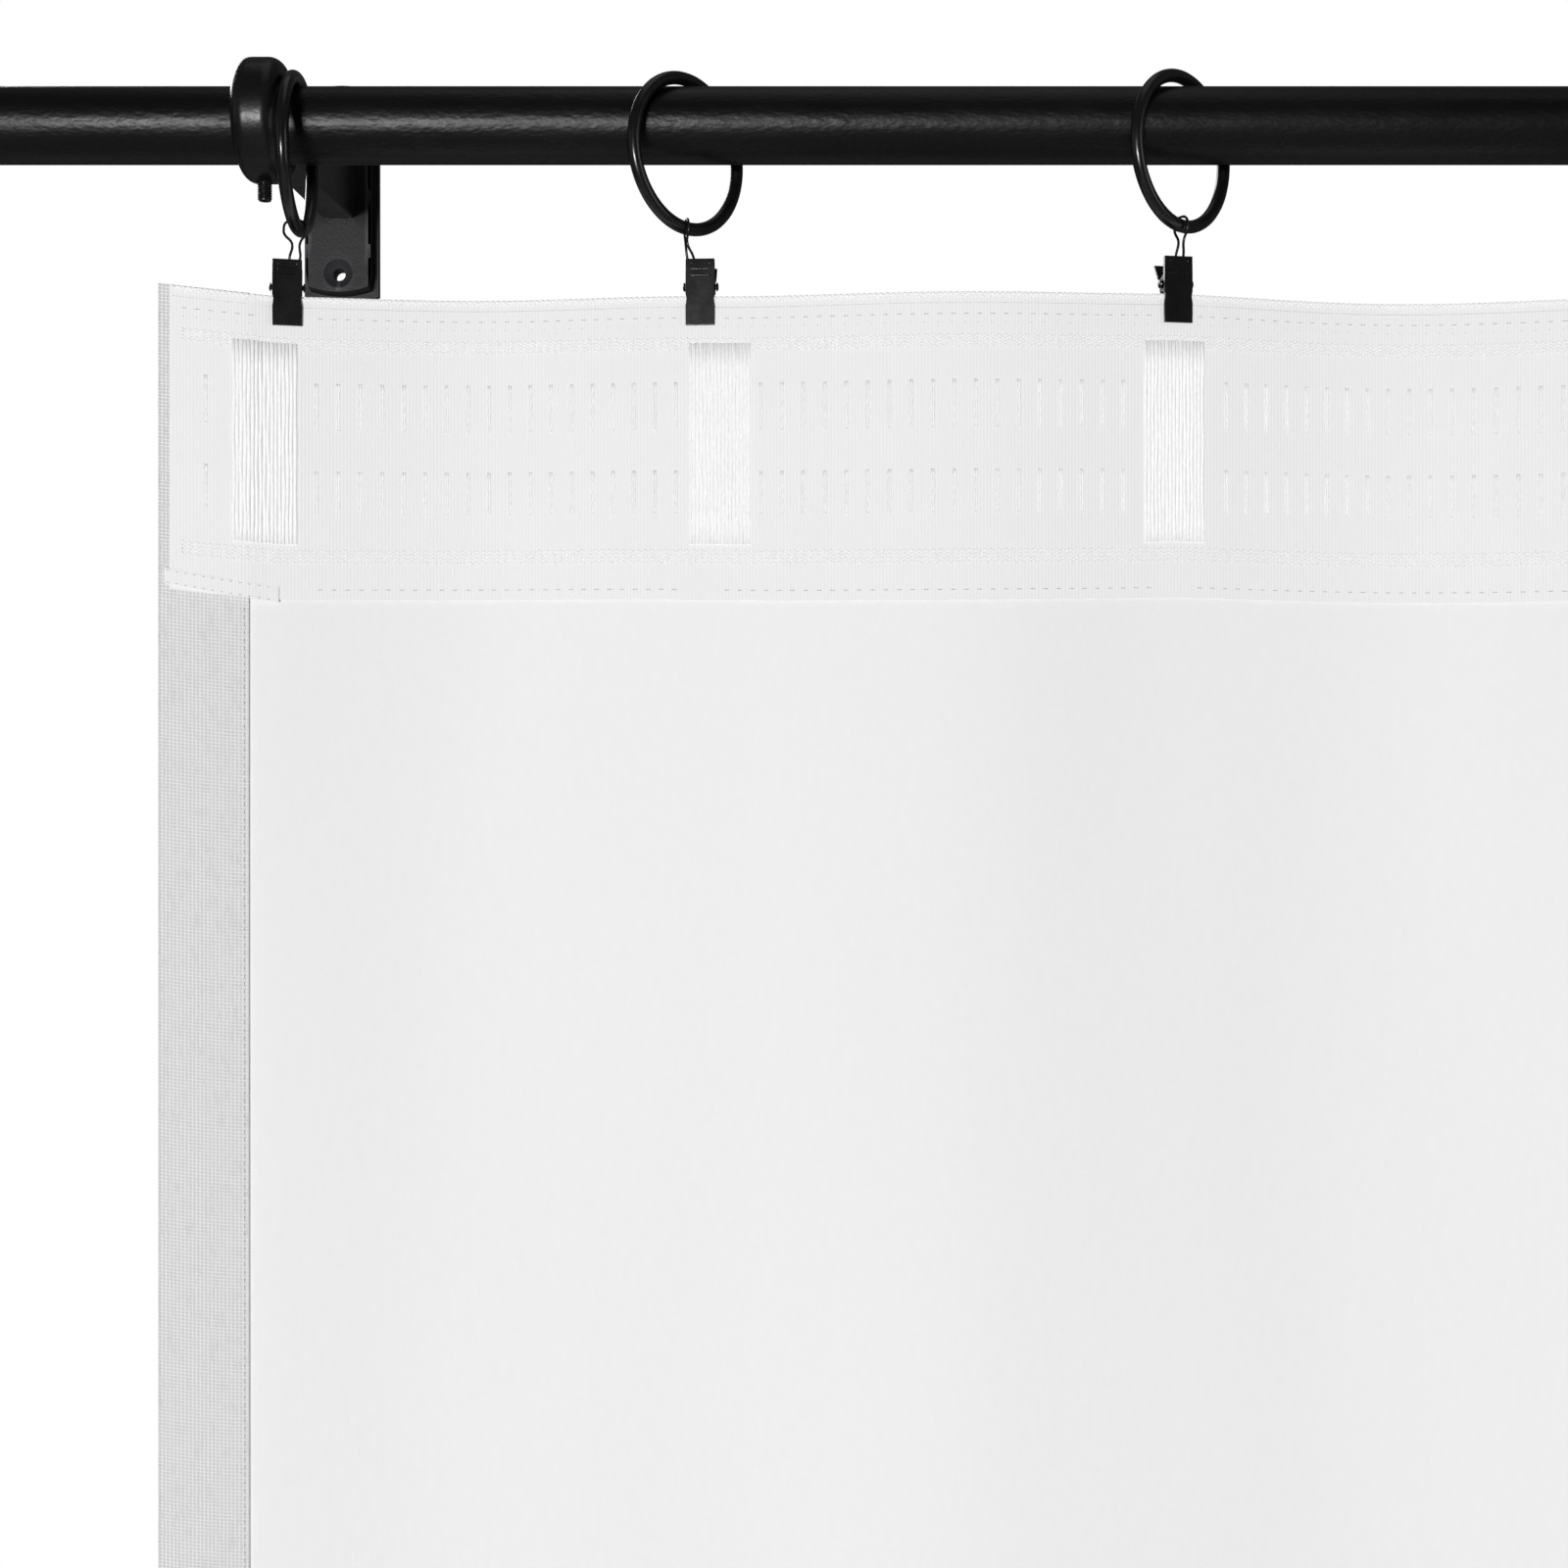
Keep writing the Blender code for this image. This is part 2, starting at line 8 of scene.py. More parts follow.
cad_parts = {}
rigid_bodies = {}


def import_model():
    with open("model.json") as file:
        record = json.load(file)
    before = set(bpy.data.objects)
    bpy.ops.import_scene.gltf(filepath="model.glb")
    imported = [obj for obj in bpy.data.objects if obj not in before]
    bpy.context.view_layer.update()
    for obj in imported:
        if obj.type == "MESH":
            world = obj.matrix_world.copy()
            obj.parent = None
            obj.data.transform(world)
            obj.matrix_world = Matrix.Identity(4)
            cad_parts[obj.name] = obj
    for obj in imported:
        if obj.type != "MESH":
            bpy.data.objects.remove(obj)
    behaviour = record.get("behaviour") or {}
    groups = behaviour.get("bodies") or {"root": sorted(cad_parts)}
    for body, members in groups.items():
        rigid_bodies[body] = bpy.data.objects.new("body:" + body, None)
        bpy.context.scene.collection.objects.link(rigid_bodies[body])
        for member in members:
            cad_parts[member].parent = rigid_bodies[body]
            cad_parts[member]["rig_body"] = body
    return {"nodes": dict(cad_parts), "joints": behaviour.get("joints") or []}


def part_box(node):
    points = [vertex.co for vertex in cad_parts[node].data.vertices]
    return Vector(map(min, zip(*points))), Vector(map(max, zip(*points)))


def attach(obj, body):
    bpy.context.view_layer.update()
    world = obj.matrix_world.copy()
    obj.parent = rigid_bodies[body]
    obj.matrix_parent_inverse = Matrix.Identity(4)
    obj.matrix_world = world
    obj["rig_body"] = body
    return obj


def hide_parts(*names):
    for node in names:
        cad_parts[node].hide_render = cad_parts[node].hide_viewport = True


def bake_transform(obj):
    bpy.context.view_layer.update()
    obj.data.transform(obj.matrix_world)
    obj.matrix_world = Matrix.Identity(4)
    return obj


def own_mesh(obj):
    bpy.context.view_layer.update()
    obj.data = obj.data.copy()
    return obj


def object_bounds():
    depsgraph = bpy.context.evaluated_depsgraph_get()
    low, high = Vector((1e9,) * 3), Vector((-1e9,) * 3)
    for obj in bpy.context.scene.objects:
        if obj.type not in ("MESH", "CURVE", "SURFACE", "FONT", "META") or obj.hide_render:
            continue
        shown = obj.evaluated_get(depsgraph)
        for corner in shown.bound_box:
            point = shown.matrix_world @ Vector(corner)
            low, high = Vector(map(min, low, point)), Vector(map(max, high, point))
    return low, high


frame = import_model()
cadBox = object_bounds()
joints = {joint["name"]: joint for joint in frame["joints"]}
touchGap = 0.0003  # between pieces that touch
print("frame loaded")


def letGo():
    if bpy.context.object and bpy.context.object.mode != "OBJECT":
        bpy.ops.object.mode_set(mode="OBJECT")
    bpy.ops.object.select_all(action="DESELECT")


def hold(piece):
    letGo()
    piece.select_set(True)
    bpy.context.view_layer.objects.active = piece


def named(name):
    piece = bpy.context.object
    piece.name = name
    piece.data.name = name
    return piece


def edit(piece, kind="VERT", chosen=None):
    # goes into edit mode with only the chosen vertices, edges or faces selected
    hold(piece)
    bpy.ops.object.mode_set(mode="EDIT")
    bpy.ops.mesh.select_mode(type=kind)
    bpy.ops.mesh.select_all(action="DESELECT" if chosen else "SELECT")
    if chosen:
        bpy.ops.object.mode_set(mode="OBJECT")
        mesh = piece.data
        items = {"VERT": mesh.vertices, "EDGE": mesh.edges, "FACE": mesh.polygons}[kind]
        for item in items:
            item.select = chosen(item)
        bpy.ops.object.mode_set(mode="EDIT")


def edgeEnds(piece, edge):
    return [piece.data.vertices[k].co for k in edge.vertices]


def edgeSpan(piece, edge):
    start, end = edgeEnds(piece, edge)
    return end - start


def editEdges(piece, test):
    # goes into edit mode with only the edges whose two ends pass the test
    edit(piece, "EDGE", lambda edge: all(test(end) for end in edgeEnds(piece, edge)))


def turnFacesOut():
    # called in edit mode, and leaves it
    bpy.ops.mesh.select_all(action="SELECT")
    bpy.ops.mesh.normals_make_consistent(inside=False)
    letGo()


def applyModifiers(piece):
    hold(piece)
    for modifier in list(piece.modifiers):
        bpy.ops.object.modifier_apply(modifier=modifier.name)


def bevelEdges(piece, width, segments=2, angle=30):
    bevel = piece.modifiers.new("roundedEdges", "BEVEL")
    bevel.width = width
    bevel.segments = segments
    bevel.limit_method = "ANGLE"
    bevel.angle_limit = math.radians(angle)
    bevel.use_clamp_overlap = True
    applyModifiers(piece)


def combine(piece, other, operation):
    cut = piece.modifiers.new("cut", "BOOLEAN")
    cut.operation = operation
    cut.object = other
    cut.solver = "EXACT"
    applyModifiers(piece)
    bpy.data.objects.remove(other, do_unlink=True)


def bake(piece):
    # the place goes into the mesh, and the object stays at the origin
    hold(piece)
    bpy.ops.object.transform_apply(location=True, rotation=True, scale=True)


def tidyMesh(piece):
    edit(piece)
    bpy.ops.mesh.remove_doubles(threshold=1e-6)
    turnFacesOut()


def closeEnds(piece):
    edit(piece)
    bpy.ops.mesh.fill_holes(sides=0)
    turnFacesOut()


def lathe(name, profile, segments=96, closed=False):
    # turned about Z: profile is (radius, height), and a radius of 0 closes an end
    letGo()
    radius, height = max(profile[0][0], 1e-7), profile[0][1]
    bpy.ops.mesh.primitive_circle_add(vertices=segments, radius=radius, location=(0, 0, height))
    piece = named(name)
    edit(piece)
    steps = profile[1:] + ([profile[0]] if closed else [])
    for nextRadius, nextHeight in steps:
        nextRadius = max(nextRadius, 1e-7)
        bpy.ops.mesh.extrude_region_move(
            TRANSFORM_OT_translate={"value": (0, 0, nextHeight - height)}
        )
        share = nextRadius / radius
        bpy.ops.transform.resize(value=(share, share, 1), center_override=(0, 0, nextHeight))
        radius, height = nextRadius, nextHeight
    letGo()
    bake(piece)
    tidyMesh(piece)
    return piece


def barProfile(radius, half):
    # a plain round bar about its middle
    return [(0, half), (radius, half), (radius, -half), (0, -half)]


def rounding(centre, radius, start, end, count=6):
    # arc points (radius, height) from one angle to another, in degrees
    angles = [math.radians(start + (end - start) * k / count) for k in range(count + 1)]
    return [(centre[0] + radius * math.cos(a), centre[1] + radius * math.sin(a)) for a in angles]


def put(piece, location, rotation=(0, 0, 0)):
    piece.location = location
    piece.rotation_euler = rotation
    bake(piece)


def copyOf(piece, name):
    twin = piece.copy()
    twin.data = piece.data.copy()
    twin.name = name
    twin.data.name = name
    bpy.context.scene.collection.objects.link(twin)
    return twin


def bodyOf(node):
    return frame["nodes"][node]["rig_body"]


def settle(piece, finish, node, angle=35, rides=True):
    # smooths and paints a piece, and puts it in its node's place
    bake(piece)
    bpy.ops.object.shade_smooth_by_angle(angle=math.radians(angle))
    even = piece.modifiers.new("flatFaces", "WEIGHTED_NORMAL")
    even.keep_sharp = True
    applyModifiers(piece)
    piece.data.materials.clear()
    piece.data.materials.append(finish)
    if rides:
        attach(piece, bodyOf(node))
    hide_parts(node)


def newFinish(name, colour, roughness, metallic=0.0, specular=0.5):
    finish = bpy.data.materials.new(name)
    finish.use_nodes = True
    shader = finish.node_tree.nodes["Principled BSDF"]
    shader.inputs["Base Color"].default_value = (*colour, 1.0)
    shader.inputs["Roughness"].default_value = roughness
    shader.inputs["Metallic"].default_value = metallic
    shader.inputs["Specular IOR Level"].default_value = specular
    finish.diffuse_color = (*colour, 1.0)
    return finish


def addNode(finish, kind, inputs=None, **settings):
    node = finish.node_tree.nodes.new(kind)
    for key, value in settings.items():
        setattr(node, key, value)
    for key, value in (inputs or {}).items():
        node.inputs[key].default_value = value
    return node


def wire(finish, source, target):
    finish.node_tree.links.new(source, target)


def shaderOf(finish):
    return finish.node_tree.nodes["Principled BSDF"]


def objectCoordinates(finish, scale=(1, 1, 1)):
    where = addNode(finish, "ShaderNodeTexCoord")
    mapping = addNode(finish, "ShaderNodeMapping", {"Scale": scale})
    wire(finish, where.outputs["Object"], mapping.inputs["Vector"])
    return mapping.outputs["Vector"]


def blotches(finish, vector, scale, detail=3.0, roughness=0.5):
    noise = addNode(finish, "ShaderNodeTexNoise", {
        "Scale": scale, "Detail": detail, "Roughness": roughness,
    })
    wire(finish, vector, noise.inputs["Vector"])
    return noise.outputs["Fac"]


def remap(finish, value, low, high, toLow, toHigh):
    ranged = addNode(finish, "ShaderNodeMapRange", {
        "From Min": low, "From Max": high, "To Min": toLow, "To Max": toHigh,
    })
    wire(finish, value, ranged.inputs["Value"])
    return ranged.outputs["Result"]


def mixOf(finish, operation, first, second):
    node = addNode(finish, "ShaderNodeMath", operation=operation)
    for socket, value in zip(node.inputs, (first, second)):
        if isinstance(value, (int, float)):
            socket.default_value = value
        else:
            wire(finish, value, socket)
    return node.outputs["Value"]


def tint(finish, value, dark, light, low=0.3, high=0.7):
    ramp = addNode(finish, "ShaderNodeValToRGB")
    ramp.color_ramp.elements[0].position = low
    ramp.color_ramp.elements[0].color = (*dark, 1.0)
    ramp.color_ramp.elements[1].position = high
    ramp.color_ramp.elements[1].color = (*light, 1.0)
    wire(finish, value, ramp.inputs["Fac"])
    wire(finish, ramp.outputs["Color"], shaderOf(finish).inputs["Base Color"])


def relief(finish, value, distance, strength=1.0, under=None):
    bump = addNode(finish, "ShaderNodeBump", {"Distance": distance, "Strength": strength})
    wire(finish, value, bump.inputs["Height"])
    if under:
        wire(finish, under, bump.inputs["Normal"])
    wire(finish, bump.outputs["Normal"], shaderOf(finish).inputs["Normal"])
    return bump.outputs["Normal"]


# armBlack and castBlack carry a painted highlight along their sharp edges
blackCoat = {
    "powderCoat": {"colour": (0.0018, 0.0018, 0.0019), "roughness": (0.31, 0.43), "specular": 0.225,
                   "grain": 860.0, "grainDepth": 0.00013, "patch": 26.0, "stretch": 0.42},
    "armBlack": {"colour": (0.0036, 0.0036, 0.0038), "roughness": (0.26, 0.38), "specular": 0.25,
                 "grain": 760.0, "grainDepth": 0.00007, "patch": 60.0, "edgeHighlight": 0.6},
    "castBlack": {"colour": (0.0066, 0.0066, 0.0078), "roughness": (0.42, 0.58), "specular": 0.28,
                  "grain": 900.0, "grainDepth": 0.00006, "patch": 90.0, "edgeHighlight": 0.9},
    "blackSteel": {"colour": (0.0042, 0.0042, 0.0043), "roughness": (0.20, 0.28), "specular": 0.42,
                   "grain": 1400.0, "grainDepth": 0.00001, "patch": 120.0},
    "nylonBlack": {"colour": (0.016, 0.016, 0.016), "roughness": (0.45, 0.60), "specular": 0.4,
                   "grain": 2200.0, "grainDepth": 0.00002, "patch": 200.0},
}


def paintedBlack(name):
    values = blackCoat[name]
    colour = values["colour"]
    finish = newFinish(name, colour, values["roughness"][0], specular=values["specular"])
    where = objectCoordinates(finish, (values.get("stretch", 1.0), 1.0, 1.0))
    patches = blotches(finish, where, values["patch"], 4.0, 0.6)
    if "edgeHighlight" in values:
        # painted highlight: a paler line on the sharp edges, found from their pointiness, stands in for light
        # caught there
        surface = addNode(finish, "ShaderNodeNewGeometry")
        edges = remap(finish, surface.outputs["Pointiness"], 0.515, 0.60, 0.0, values["edgeHighlight"])
        shade = mixOf(finish, "ADD", remap(finish, patches, 0.3, 0.7, 0.0, 0.12), edges)
        # the light end of this ramp is the painted edge highlight, eight times the coat's colour
        tint(finish, shade, [c * 0.85 for c in colour], [c * 8 for c in colour], 0.0, 1.0)
    else:
        tint(finish, patches, [c * 0.8 for c in colour], [c * 1.35 for c in colour])
    rough = remap(finish, patches, 0.3, 0.7, *values["roughness"])
    wire(finish, rough, shaderOf(finish).inputs["Roughness"])
    broad = relief(finish, blotches(finish, where, values["grain"] / 3, 2.0), values["grainDepth"] * 1.2)
    relief(finish, blotches(finish, where, values["grain"], 2.0), values["grainDepth"], under=broad)
    return finish


powderCoat = paintedBlack("powderCoat")
armBlack = paintedBlack("armBlack")
castBlack = paintedBlack("castBlack")
blackSteel = paintedBlack("blackSteel")
nylonBlack = paintedBlack("nylonBlack")
print("metal finishes made")

rodLow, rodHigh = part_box("rod_outer_tube")
rodAxis = (rodLow + rodHigh) / 2
alongRod = (0, math.pi / 2, 0)

rod = {"wall": 0.0012, "endRound": 0.00035}


def makeTube(node):
    low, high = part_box(node)
    radius = (high.z - low.z) / 2
    bore = radius - rod["wall"]
    half = (high.x - low.x) / 2
    profile = [(radius, half), (radius, -half), (bore, -half), (bore, half)]
    tube = lathe(node + "_coated", profile, 128, closed=True)
    bevelEdges(tube, rod["endRound"], 2)
    put(tube, (low + high) / 2, alongRod)
    settle(tube, powderCoat, node)


makeTube("rod_outer_tube")
makeTube("rod_inner_tube")
print("rod made")

# knobs that screw into a plug in each end of the rod
finial = {"ball": 0.0190, "neck": 0.0095, "neckFoot": 0.0050, "neckTop": 0.0070, "flange": 0.0150,
          "flangeHeight": 0.0040, "stud": 0.0030, "studLength": 0.0120, "edge": 0.0006,
          "plugFlange": 0.0022, "plugHollow": 0.0024, "hollowShare": 0.7}


def makeFinial(side, outward):
    node = "finial_" + side
    low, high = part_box(node)
    seat = finial["studLength"]
    ballHeight = seat + finial["neckTop"] + math.sqrt(finial["ball"] ** 2 - finial["neck"] ** 2)
    neckAngle = -math.degrees(math.acos(finial["neck"] / finial["ball"]))
    profile = rounding((0, ballHeight), finial["ball"], 90, neckAngle, 28)
    profile[0] = (0, profile[0][1])
    profile += [
        (finial["neck"], seat + finial["neckFoot"]),
        (finial["flange"], seat + finial["flangeHeight"]),
        (finial["flange"], seat),
        (finial["stud"], seat),
        (finial["stud"], 0),
        (0, 0),
    ]
    knob = lathe(node + "_turned", profile, 96)
    bevelEdges(knob, finial["edge"], 3, 40)
    foot = low.x if outward > 0 else high.x
    put(knob, (foot, rodAxis.y, rodAxis.z), (0, outward * math.pi / 2, 0))
    settle(knob, powderCoat, node)


def makePlug(side, outward):
    node = "finial_plug_" + side
    low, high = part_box(node)
    length = high.x - low.x
    radius = (high.z - low.z) / 2
    tubeNode = "rod_outer_tube" if side == "left" else "rod_inner_tube"
    tubeLow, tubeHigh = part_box(tubeNode)
    body = (tubeHigh.z - tubeLow.z) / 2 - rod["wall"] - touchGap
    hole = finial["stud"] + touchGap
    shoulder = length - finial["plugFlange"]
    inner = body - finial["plugHollow"]
    sleeve = hole + finial["plugHollow"] / 2
    floor = shoulder * finial["hollowShare"]
    profile = [
        (radius, length), (radius, shoulder), (body, shoulder), (body, 0), (inner, 0),
        (inner, floor), (sleeve, floor), (sleeve, 0), (hole, 0), (hole, length),
    ]
    plug = lathe(node + "_moulded", profile, 80, closed=True)
    foot = low.x if outward > 0 else high.x
    put(plug, (foot, rodAxis.y, rodAxis.z), (0, outward * math.pi / 2, 0))
    settle(plug, nylonBlack, node)


for side, outward in (("left", -1), ("right", 1)):
    makeFinial(side, outward)
    makePlug(side, outward)
print("finials made")

# wall plates, arms with their collars, and set screws
bracket = {"plateThickness": 0.0032, "arc": 0.0028, "bossMargin": 0.0028, "draft": 0.0005,
           "bossEdge": 0.00045, "hole": 0.0024, "sink": 0.00575, "sinkPast": 0.0001, "holeOffset": 0.03255,
           "collarBore": 0.0146, "collarRound": 0.0050, "boreLip": 0.0005, "armWidth": 0.0126,
           "armHeight": 0.0222, "noseWidth": 0.0118, "noseHeight": 0.0150, "armEdge": 0.0012,
           "tenon": 0.0045, "tenonLength": 0.0057}
setScrew = {"radius": 0.00245, "pitch": 0.0008, "depth": 0.00042, "fade": 0.0006, "endDepth": 1.1,
            "around": 40, "rowsPerTurn": 8, "socket": 0.00125, "socketDepth": 0.0025}
facingRoom = (math.pi / 2, 0, 0)


def bowEnds(piece, halfWidth, halfHeight, bow):
    # the ends of the plate bow out by a shallow arc
    for vertex in piece.data.vertices:
        if abs(vertex.co.z) > halfHeight * 0.9:
            drop = bow * (vertex.co.x / halfWidth) ** 2
            vertex.co.z -= math.copysign(drop, vertex.co.z)


def makePlate(side):
    node = "wall_plate_" + side
    low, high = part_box(node)
    width, height, depth = high.x - low.x, high.z - low.z, high.y - low.y
    bossDepth = depth - bracket["plateThickness"]
    letGo()
    bpy.ops.mesh.primitive_grid_add(x_subdivisions=20, y_subdivisions=8, size=1)
    plate = named(node + "_cast")
    plate.scale = (width, height, 1)
    plate.rotation_euler = facingRoom
    bake(plate)
    bowEnds(plate, width / 2, height / 2, bracket["arc"])
    edit(plate)
    bpy.ops.mesh.extrude_region_move(
        TRANSFORM_OT_translate={"value": (0, -bracket["plateThickness"], 0)}
    )
    bpy.ops.mesh.inset(thickness=bracket["bossMargin"], depth=0)
    bpy.ops.mesh.extrude_region_move(TRANSFORM_OT_translate={"value": (0, -bossDepth, 0)})
    draft = 2 * bracket["draft"]
    bpy.ops.transform.resize(value=(1 - draft / width, 1, 1 - draft / height))
    turnFacesOut()
    bevelEdges(plate, bracket["bossEdge"], 3, 40)
    for sign in (1, -1):
        profile = [
            (0, bossDepth * 3), (bracket["hole"], bossDepth * 3), (bracket["hole"], bossDepth * 0.35),
            (bracket["sink"], -bracket["sinkPast"]), (bracket["sink"], -bossDepth), (0, -bossDepth),
        ]
        tool = lathe("sinkTool", profile, 64)
        put(tool, (0, -depth, sign * bracket["holeOffset"]), (-math.pi / 2, 0, 0))
        combine(plate, tool, "DIFFERENCE")
    socket = barProfile(bracket["tenon"] + touchGap, bracket["tenonLength"] + 2 * touchGap)
    tool = lathe("socketTool", socket, 48)
    put(tool, (0, -depth, 0), (-math.pi / 2, 0, 0))
    combine(plate, tool, "DIFFERENCE")
    put(plate, ((low.x + high.x) / 2, 0, (low.z + high.z) / 2))
    settle(plate, castBlack, node, 28)


def makeArm(side):
    node = "bracket_arm_" + side
    low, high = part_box(node)
    plateLow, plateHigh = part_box("wall_plate_" + side)
    middle = (low.x + high.x) / 2
    plateZ = (plateLow.z + plateHigh.z) / 2
    outside = rodAxis.y - low.y
    collarZ = low.z + outside
    half = (high.x - low.x) / 2
    back = plateLow.y - touchGap
    nose = rodAxis.y + (bracket["collarBore"] + outside) / 2
    letGo()
    bpy.ops.mesh.primitive_cube_add(size=1, location=(middle, (back + nose) / 2, plateZ))
    arm = named(node + "_cast")
    arm.scale = (bracket["armWidth"], back - nose, bracket["armHeight"])
    bake(arm)
    edit(arm, "FACE", lambda face: face.normal.y < -0.9)
    bpy.ops.transform.translate(value=(0, 0, collarZ - plateZ))
    narrow, shallow = bracket["noseWidth"] / bracket["armWidth"], bracket["noseHeight"] / bracket["armHeight"]
    bpy.ops.transform.resize(value=(narrow, 1, shallow), center_override=(middle, nose, collarZ))
    letGo()
    edit(arm, "EDGE", lambda edge: abs(edgeSpan(arm, edge).y) > abs(back - nose) / 2)
    bpy.ops.mesh.bevel(offset=bracket["armEdge"], segments=4, affect="EDGES")
    letGo()
    rim, bore = bracket["collarRound"], bracket["collarBore"]
    profile = rounding((outside - rim, half - rim), rim, 90, 0, 8)
    profile += rounding((outside - rim, rim - half), rim, 0, -90, 8)
    lip = bracket["boreLip"]
    profile += [(bore + lip, -half), (bore, -half + lip), (bore, half - lip), (bore + lip, half)]
    collar = lathe("collar", profile, 112, closed=True)
    put(collar, (middle, rodAxis.y, collarZ), alongRod)
    combine(arm, collar, "UNION")
    tenon = lathe("tenon", barProfile(bracket["tenon"], bracket["tenonLength"]), 48)
    put(tenon, (middle, back, plateZ), facingRoom)
    combine(arm, tenon, "UNION")
    reach = outside - bore
    tool = lathe("screwTool", barProfile(setScrew["radius"] + touchGap, reach), 40)
    put(tool, (middle, rodAxis.y, collarZ - bore - reach / 2))
    combine(arm, tool, "DIFFERENCE")
    settle(arm, armBlack, node, 38)


def cutThread(screw, length, radius):
    # a helical groove that runs out at both ends
    for vertex in screw.data.vertices:
        along = vertex.co.z / setScrew["pitch"] - math.atan2(vertex.co.y, vertex.co.x) / (2 * math.pi)
        tooth = abs(2 * (along - math.floor(along)) - 1)
        fade = min(1.0, (length / 2 - abs(vertex.co.z)) / setScrew["fade"])
        share = 1 - setScrew["depth"] * (tooth * fade + setScrew["endDepth"] * (1 - fade)) / radius
        vertex.co.x *= share
        vertex.co.y *= share


def makeSetScrew(side):
    node = "set_screw_" + side
    low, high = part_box(node)
    length, radius = high.z - low.z, (high.x - low.x) / 2
    letGo()
    bpy.ops.mesh.primitive_cylinder_add(
        vertices=setScrew["around"], radius=radius, depth=length, end_fill_type="NOTHING"
    )
    screw = named(node + "_threaded")
    edit(screw, "EDGE", lambda edge: abs(edgeSpan(screw, edge).z) > length / 2)
    bpy.ops.mesh.subdivide(number_cuts=int(length / setScrew["pitch"] * setScrew["rowsPerTurn"]))
    letGo()
    cutThread(screw, length, radius)
    closeEnds(screw)
    tool = lathe("hexTool", barProfile(setScrew["socket"], setScrew["socketDepth"]), 6)
    put(tool, (0, 0, -length / 2))
    combine(screw, tool, "DIFFERENCE")
    put(screw, ((low.x + high.x) / 2, rodAxis.y, (low.z + high.z) / 2))
    settle(screw, blackSteel, node, 30)


for side in ("left", "right"):
    makePlate(side)
    makeArm(side)
    makeSetScrew(side)
print("brackets made")

# closed wire rings on the rod
ringLook = {"wire": 0.0022, "around": 112, "across": 24, "buttDepth": 0.00022, "buttAngle": 118}
hangers = range(1, 10)


def ringTurn(node):
    # how far the ring's plane is turned about Z from facing along the rod
    low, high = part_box(node)
    centre = (low + high) / 2
    vertices = frame["nodes"][node].data.vertices
    spread = np.array([(vertex.co.x - centre.x, vertex.co.y - centre.y) for vertex in vertices])
    across, deep = spread[:, 0], spread[:, 1]
    return 0.5 * math.atan2(2 * (across * deep).mean(), (deep * deep).mean() - (across * across).mean())


def makeRing(n):
    node = "ring_%d" % n
    low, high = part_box(node)
    letGo()
    bpy.ops.mesh.primitive_torus_add(
        major_segments=ringLook["around"], minor_segments=ringLook["across"],
        major_radius=(high.z - low.z) / 2 - ringLook["wire"], minor_radius=ringLook["wire"],
    )
    ring = named(node + "_wire")
    # the wire's two ends meet in a fine groove
    joint = math.radians(ringLook["buttAngle"])
    near = math.pi / ringLook["around"]
    edit(ring, "VERT", lambda vertex: abs(math.atan2(vertex.co.y, vertex.co.x) - joint) < near)
    bpy.ops.transform.shrink_fatten(value=-ringLook["buttDepth"])
    letGo()
    put(ring, (low + high) / 2, (0, math.pi / 2, -ringTurn(node)))
    settle(ring, blackSteel, node, 60)


for n in hangers:
    makeRing(n)
print("rings made")

# clip sizes are taken about the clip's own pin
clip = {"width": 0.0100, "above": 0.0087, "below": 0.0130, "sheet": 0.0008, "innerFace": 0.0024,
        "flange": 0.0011, "earHeight": 0.0056, "earReach": 0.0021, "earTaper": 0.72, "waist": 0.00035,
        "waistHeight": -0.0043, "waistEnd": 1.6, "pinHole": 0.0012, "edge": 0.00016,
        "ridge": 0.00035, "ridgeInset": 0.0012, "ridgeHeights": (0.0055, 0.0033),
        "dimple": 0.00055, "dimpleHeight": 0.0071, "dimpleAside": 0.0030,
        "jawHalf": 0.0039, "leverHalf": 0.0049, "rearBack": 0.0038, "grip": 0.0004, "leverBack": 0.0081,
        "leverUp": 0.0078, "rearSheet": 0.98, "rearEarTaper": 0.8, "rearEarPast": 0.0004,
        "pin": 0.0009, "pinHead": 0.0015, "pinHeadLength": 0.0007}
bailLook = {"wire": 0.00045, "gap": 0.0003, "bow": 0.0006, "neck": 0.0018, "neckRise": 0.0011,
            "neckLean": 0.72, "kink": 0.0013, "kinkDrop": 0.0050, "crownDrop": 0.0016, "room": 0.0002,
            "bowShift": 0.0020, "bowLean": 0.45, "maxNeckTurn": 55}
# loops that don't stand square to their ring: turn in degrees, half width and shift in metres
loopStance = {1: (0, 0.0037, -0.0010), 2: (-76, 0.0034, 0.0), 3: (-58, 0.0032, 0.0)}


def cutPinHole(piece):
    tool = lathe("pinTool", barProfile(clip["pinHole"], clip["width"]), 28)
    put(tool, (0, 0, 0), alongRod)
    combine(piece, tool, "DIFFERENCE")


def foldSheet(piece, thickness):
    solid = piece.modifiers.new("sheet", "SOLIDIFY")
    solid.thickness = thickness
    solid.offset = 0.0
    applyModifiers(piece)
    bevelEdges(piece, clip["edge"], 2, 30)


